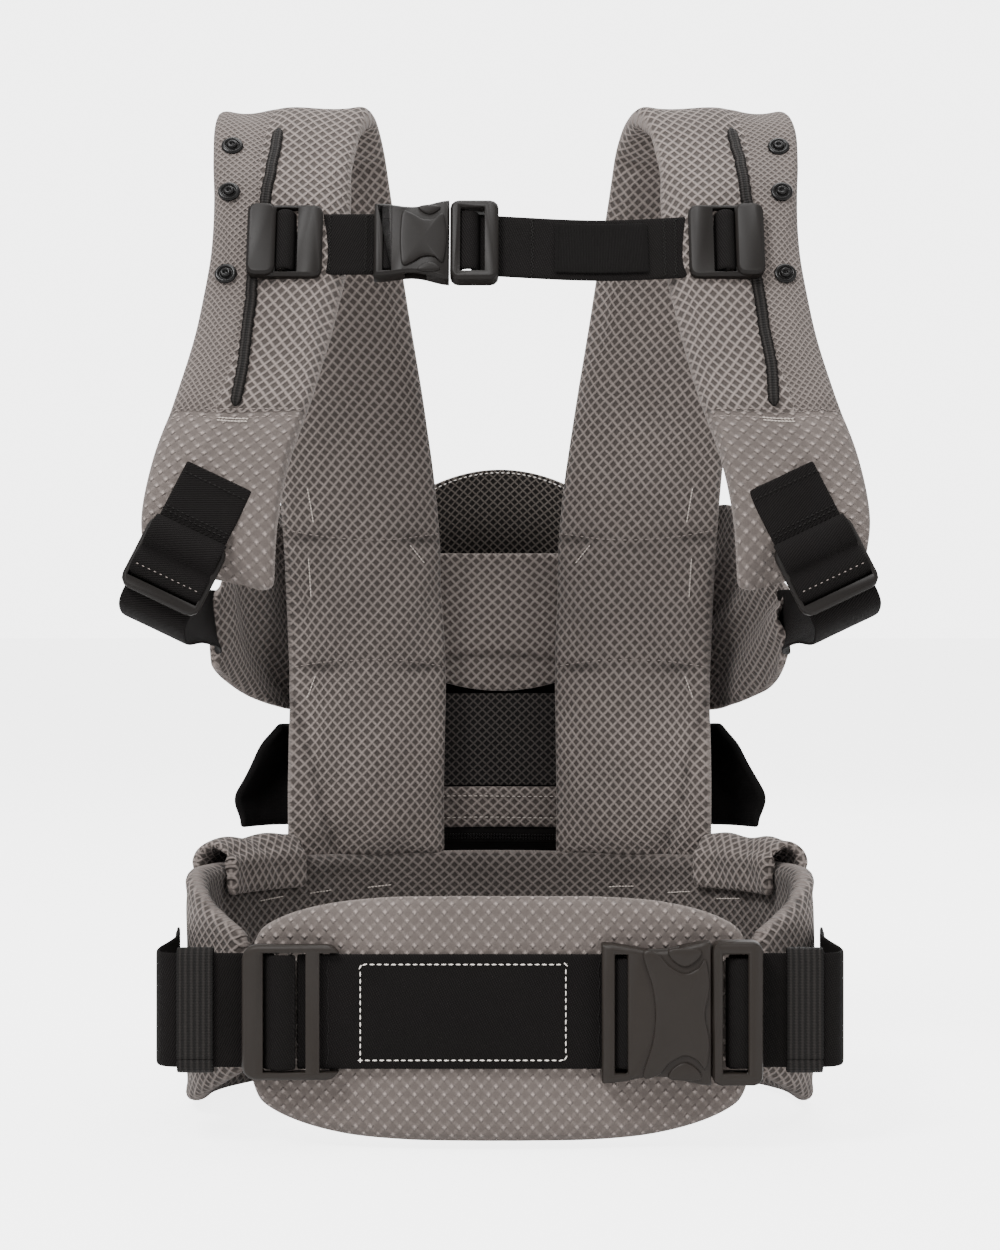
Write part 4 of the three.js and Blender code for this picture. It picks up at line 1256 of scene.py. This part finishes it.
def lock_webbings():
    """The tab, the fold over the bar and the adjuster webbing at the end of each shoulder strap."""
    for name, side in SIDES.items():
        across = tuple(lock_axes(side)[0])
        route = [on_lock(side, 0, h, o) for h, o in ((20, 0), (8, 0.2), (-7.4, 0.4))]
        tape(f"strap_tab_{name}_tape", route, LOCK_WIDTH, across, "webbing", "carrier", f"strap_tab_{name}")
        bends = ((-7.6, 1.2), (-8.4, 3.0), (-10, 4.3), (-14, 5.4), (-18.5, 4.6), (-21.3, 1.6), (-22.8, 1.2),
                 (-25, 3.0), (-29, 4.2), (-33, 3.4), (-35.5, 0), (-36, -4))
        fold = [on_lock(side, 0, h, o) for h, o in bends]
        tape(f"lock_fold_{name}", fold, LOCK_WIDTH + 2, across, "webbing", f"lock_{name}",
             f"lock_roll_{name}")
        rear = [(152, -88, 226), (147, -62, 228), (141.5, -25, 229), (140.4, 14, 229), (140.4, 26, 229),
                (138.6, 44, 229)]
        low = [on_lock(side, 0, -37, -4), on_lock(side, 0, -47, -7)] + [[side * x, y, z] for x, y, z in rear]
        upright = (side * -0.1, 0, side)
        piece = tape(f"adjuster_webbing_{name}_tape", low, LOCK_WIDTH, (across, upright), "webbing", None,
                     f"adjuster_webbing_{name}")
        anchor, free = place([side * 150, -80, 227]), place(on_lock(side, 0, -40, -5))
        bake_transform(piece)
        rows = crossed_box(piece, side * 150, (32, 42), (218, 240), 12)
        stitches(f"adjuster_webbing_{name}_box_stitch", rows, BLACK_THREAD, "webbing", "carrier", 2.2, 1.6)


def keepers():
    """Elastic loops round the webbing's tails, each one turn of ribbed elastic."""
    for name in SIDES:
        body = f"keeper_{name}"
        low, high = (np.array(corner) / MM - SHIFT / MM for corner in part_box(body))
        front, rear = low[1] + 0.9, high[1] - 0.9
        bottom, top = low[2] + 0.9, high[2] - 0.9
        x = (low[0] + high[0]) / 2
        middle = mix(front, rear, 0.5)
        loop = [
            (front, bottom + 6), (front, WAIST_Z), (front, top - 3), (front + 0.5, top - 0.7), (middle, top),
            (rear - 0.5, top - 0.7), (rear, top - 3), (rear, WAIST_Z), (rear, bottom + 3),
            (rear - 0.5, bottom + 0.7), (middle, bottom), (front + 0.5, bottom + 0.7), (front, bottom + 3),
            (front, bottom + 6),
        ]
        route = [[x, y, z] for y, z in loop]
        tape(f"{body}_loop", route, high[0] - low[0], (1, 0, 0), "elastic", body, body, thick=1.3,
             look=ELASTIC)


def chest_webbings():
    upward = tuple(CHEST_UP)
    short = [(-50.5, 1.6), (-70, 1.6), (-86, 1.6), (-93, 2.2), (-97.2, 4.6), (-98.2, 7)]
    route = [on_chest(x, 0, out) for x, out in short]
    tape("chest_webbing_short", route, CHEST_WIDTH, upward, "webbing", "chest_left", "chest_webbing_left")
    long_run = [(-12, 1.6), (0, 1.6), (45, 1.6), (88, 1.6), (98, 2.4), (102, 4.6), (103, 7)]
    route = [on_chest(x, sag(x), o) for x, o in long_run]
    piece = tape("chest_webbing_long", route, CHEST_WIDTH, upward, "webbing", None, "chest_webbing_right")
    spread_chest(piece)
    route = [on_chest(x, sag(x), 3.4) for x in (25, 46, 67)]
    patch = tape("chest_patch", route, 25, upward, "patch", None, "label_patch", thick=0.9, look=BINDING)
    spread_chest(patch)


def waist_stitches():
    left, right, bottom, top = -60.5, 28.5, 39, 80.5
    corners = [(left, bottom), (right, bottom), (right, top), (left, top), (left, bottom)]
    steps = np.linspace(0, 1, 24)
    sides = [stack(mix(x0, x1, steps), WAIST_Y - 1.05, mix(z0, z1, steps))
             for (x0, z0), (x1, z1) in zip(corners, corners[1:])]
    box = place(np.concatenate(sides))
    stitches("waist_webbing_box_stitch", [box], WHITE_THREAD, "webbing", "carrier", 3.1, 2.3)
    z = mix(38, 82, np.linspace(0, 1, ROW_COUNT))
    rows = [place(stack(x + 0.9 * ODD, WAIST_Y - 1.0, z)) for x in (-79, -75, 42.5)]
    stitches("waist_webbing_row_stitch", rows, BLACK_THREAD, "webbing", "carrier", 2.0, 1.5, 0.26)


def chest_stitches():
    up = mix(-14, 14, np.linspace(0, 1, ROW_COUNT))
    for label, body, xs in (("short", "chest_left", (-58.5, -61.5, -78)), ("long", None, (14, 74, 79))):
        rows = [place([on_chest(x + 1.2 * odd, h + sag(x), 2.6) for h, odd in zip(up, ODD)]) for x in xs]
        piece = stitches(f"chest_webbing_{label}_zigzag", rows, BLACK_THREAD, "webbing", body, 1.6, 1.4, 0.24)
        if body is None:
            spread_chest(piece)


def side_stitches():
    """The crossed boxes that sew the waist webbing to the belt, and the rows beside each ladder lock."""
    across = mix(-14, 14, np.linspace(0, 1, ROW_COUNT))
    for name, side in SIDES.items():
        strip = bpy.data.objects[f"belt_webbing_{name}_tape"]
        rows = crossed_box(strip, side * 158, (-18, -44), (38, 82), 24)
        stitches(f"belt_webbing_{name}_box_stitch", rows, BLACK_THREAD, "webbing", "carrier", 2.6, 1.9, 0.34)
        rows = [place([on_lock(side, x, up, 1.5) for x in across]) for up in (-4.2, -2.2, 15)]
        stitches(f"strap_tab_{name}_stitch", rows, BLACK_THREAD, "webbing", "carrier", 2.2, 1.5, 0.34)
        rows = [place([on_lock(side, x, -31.5, 5.2) for x in across])]
        stitches(f"lock_fold_{name}_stitch", rows, GREY_THREAD, "webbing", f"lock_{name}", 2.6, 1.2, 0.2)


# ---------------------------------------------------------------- hardware
def moulded(node, look, bevel, body):
    """A CAD moulding with its edges rounded."""
    source = bpy.data.objects[node]
    piece = bpy.data.objects.new(node + "_moulding", source.data.copy())
    bpy.context.scene.collection.objects.link(piece)
    shape = bmesh.new()
    shape.from_mesh(piece.data)
    bmesh.ops.remove_doubles(shape, verts=shape.verts, dist=1e-6)
    bmesh.ops.dissolve_limit(shape, angle_limit=0.02, verts=shape.verts, edges=shape.edges)
    shape.to_mesh(piece.data)
    shape.free()
    rounding = piece.modifiers.new("edges", "BEVEL")
    rounding.width = bevel * MM
    rounding.segments = 2
    rounding.limit_method = "ANGLE"
    rounding.angle_limit = math.radians(25)
    rounding.use_clamp_overlap = True
    rounding.harden_normals = True
    bake_modifiers(piece)
    slot = "waist_plastic" if look is WAIST_PLASTIC else "chest_plastic"
    return finish(piece, look, slot, body, node)


def raised(name, outline, frame, base, height, look, slot, body):
    """A domed plate standing on a moulding's face; outline is a closed list of (x, up) millimetres."""
    count = len(outline)
    t = np.linspace(0, 1, 96, endpoint=False) * count
    rows = np.array(outline, float)
    i = t.astype(int)
    f = (t - i)[:, None]
    line = curve_between(*(rows[(i + k - 1) % count] for k in range(4)), f)
    centre = line.mean(0)
    steps = ((1.0, -0.6), (1.0, 0.35), (0.985, 0.7), (0.95, 0.9), (0.88, 1.0), (0.6, 1.12), (0.3, 1.18))
    points = []
    for share, lift in steps:
        ring = centre + (line - centre) * share
        points += [frame(x, up, base + height * lift) for x, up in ring]
    n = len(line)
    faces = ring_faces(len(steps), n) + [tuple(range(n))]
    points.append(frame(*centre, base + height * 1.2))
    top = len(points) - 1
    last = (len(steps) - 1) * n
    faces += [(last + k, last + (k + 1) % n, top) for k in range(n)]
    piece = new_object(name, place(points), faces, {})
    return finish(piece, look, slot, body)


def mirrored(outline):
    return [(x, -up) for x, up in reversed(outline)]


def buckle_details():
    """The domed body, the half-round press pads and the webbing rolls of both buckles."""
    body = [(61.5, 26.5), (68, 26), (73, 21), (79.5, 17.8), (85, 20), (88.5, 23.5), (90.2, 12), (88.2, 0),
            (90.2, -12), (88.5, -23.5), (85, -20), (79.5, -17.8), (73, -21), (68, -26), (61.5, -26.5),
            (65.5, -12), (66.8, 0), (65.5, 12)]
    top = 2.25 + 11.5 / 2
    raised("waist_buckle_face", body, on_waist, top, 1.5, WAIST_PLASTIC, "waist_plastic", "carrier")
    press = [(72.5, 27.5), (74, 23.5), (79.5, 20.5), (85, 23.5), (86.5, 27.5), (79.5, 28.5)]
    for name, outline in (("upper", press), ("lower", mirrored(press))):
        raised(f"waist_press_pad_{name}", outline, on_waist, top - 1, 2.0, WAIST_PLASTIC, "waist_plastic",
               f"waist_arm_{name}")
    body = [(-44, 13.5), (-40, 12.5), (-35, 9.5), (-30, 9.5), (-26, 12.5), (-24.5, 6), (-24, 0), (-24.5, -6),
            (-26, -12.5), (-30, -9.5), (-35, -9.5), (-40, -12.5), (-44, -13.5), (-45, -6), (-45.2, 0),
            (-45, 6)]
    top = 3 + 9 / 2
    raised("chest_buckle_face", body, on_chest, top, 1.2, CHEST_PLASTIC, "chest_plastic", "chest_left")
    press = [(-37, 16), (-35.5, 13.5), (-32, 12), (-28.5, 13.5), (-27, 16), (-32, 17)]
    for name, outline in (("upper", press), ("lower", mirrored(press))):
        raised(f"chest_press_pad_{name}", outline, on_chest, top - 1, 1.6, CHEST_PLASTIC, "chest_plastic",
               f"chest_arm_{name}")
    up = (0, 0, 1)
    for name, frame, centre, reach, width, way, body, peak in (
        ("waist_plug_roll", on_waist, 104.5, 6.2, 48, up, "waist_plug", 5.6),
        ("waist_socket_roll", on_waist, 54.5, 6.0, 48, up, "carrier", 6.2),
        ("chest_plug_roll", on_chest, -14.5, 4.9, 30, tuple(CHEST_UP), "chest_plug", 6.2),
        ("chest_socket_roll", on_chest, -51.5, 3.8, 30, tuple(CHEST_UP), "chest_left", 6.2),
        ("chest_slider_left_roll", on_chest, -97.5, 4.2, 30, tuple(CHEST_UP), "chest_left", 7.4),
        ("chest_slider_right_roll", on_chest, 102.5, 4.2, 30, tuple(CHEST_UP), "chest_right", 7.4),
    ):
        arc = [(-1.0, 0.1), (-0.92, 0.55), (-0.6, 0.88), (0, 1.0), (0.6, 0.88), (0.92, 0.55), (1.0, 0.1)]
        route = [frame(centre + reach * a, 0, peak * b) for a, b in arc]
        tape(name, route, width, way, "webbing", body)


def hardware():
    """Every moulding whose edges are rounded, on the waist and then on the chest and straps."""
    for node, body in (
        ("waist_socket", "carrier"), ("waist_plug", "waist_plug"), ("triglide", "waist_slider"),
    ):
        moulded(node, WAIST_PLASTIC, 1.1, body)
    for node, body in (
        ("chest_socket", "chest_left"), ("chest_plug", "chest_plug"), ("chest_slider_left", "chest_left"),
        ("chest_slider_right", "chest_right"), ("ladder_lock_left", "lock_left"),
        ("ladder_lock_right", "lock_right"),
    ):
        moulded(node, CHEST_PLASTIC, 0.9, body)


# ---------------------------------------------------------------- floor, lights and camera
FLOOR_HALF = 40  # metres
CAMERA_AWAY = 1150
CAMERA_UP = 227.5
LIGHT_AIM = (0, 0, 0.24)


def studio_stage():
    corners = [(x * FLOOR_HALF, y * FLOOR_HALF, -MM) for x, y in ((-1, -1), (1, -1), (1, 1), (-1, 1))]
    floor = new_object("floor", corners, [(0, 1, 2, 3)], {})
    floor.data.materials.append(studio_floor())
    world = bpy.data.worlds.new("soft_white")
    bpy.context.scene.world = world
    world.use_nodes = True
    nodes, links = world.node_tree.nodes, world.node_tree.links
    lighting = nodes["Background"]
    lighting.inputs["Color"].default_value = (1, 1, 1, 1)
    lighting.inputs["Strength"].default_value = 1.4
    backdrop = nodes.new("ShaderNodeBackground")
    backdrop.inputs["Color"].default_value = (1, 1, 1, 1)
    backdrop.inputs["Strength"].default_value = 4.8
    seen = nodes.new("ShaderNodeLightPath")
    blend_of_both = nodes.new("ShaderNodeMixShader")
    links.new(seen.outputs["Is Camera Ray"], blend_of_both.inputs[0])
    links.new(lighting.outputs[0], blend_of_both.inputs[1])
    links.new(backdrop.outputs[0], blend_of_both.inputs[2])
    links.new(blend_of_both.outputs[0], nodes["World Output"].inputs["Surface"])


def studio_lights():
    for name, spot, power, size in (
        ("key", (-1.0, -1.3, 1.9), 100, 0.7),
        ("fill", (1.5, -1.4, 0.9), 18, 1.4),
        ("top", (0.1, 0.1, 2.0), 50, 1.0),
        ("back", (0.6, 1.6, 1.2), 25, 1.2),
    ):
        lamp = bpy.data.lights.new(name, "AREA")
        lamp.energy = power
        lamp.size = size
        light = bpy.data.objects.new(name, lamp)
        light.location = spot
        light.rotation_euler = (Vector(LIGHT_AIM) - Vector(spot)).to_track_quat("-Z", "Y").to_euler()
        bpy.context.scene.collection.objects.link(light)


def studio_camera():
    camera = bpy.data.cameras.new("camera")
    camera.lens = 69.12
    camera.sensor_width = 36
    viewer = bpy.data.objects.new("camera", camera)
    viewer.location = place([0, -CAMERA_AWAY, CAMERA_UP])
    viewer.rotation_euler = (math.pi / 2, 0, 0)
    bpy.context.scene.collection.objects.link(viewer)
    bpy.context.scene.camera = viewer


def carried_over():
    """Materials for the CAD nodes that stay as they are."""
    for size, look in (("waist", WAIST_PLASTIC), ("chest", CHEST_PLASTIC)):
        for end in ("upper", "lower"):
            node = bpy.data.objects[f"{size}_prong_{end}"]
            node.data.materials.clear()
            node.data.materials.append(look)


studio_stage()
studio_lights()
studio_camera()
for strap_name, strap_side in SIDES.items():
    shoulder_strap(strap_name, strap_side)
waist_pads()
baby_panel()
wings_and_sleeves()
chest_middle()
head_support()
waist_webbings()
lock_webbings()
keepers()
chest_webbings()
waist_stitches()
chest_stitches()
side_stitches()
snaps()
hardware()
buckle_details()
carried_over()
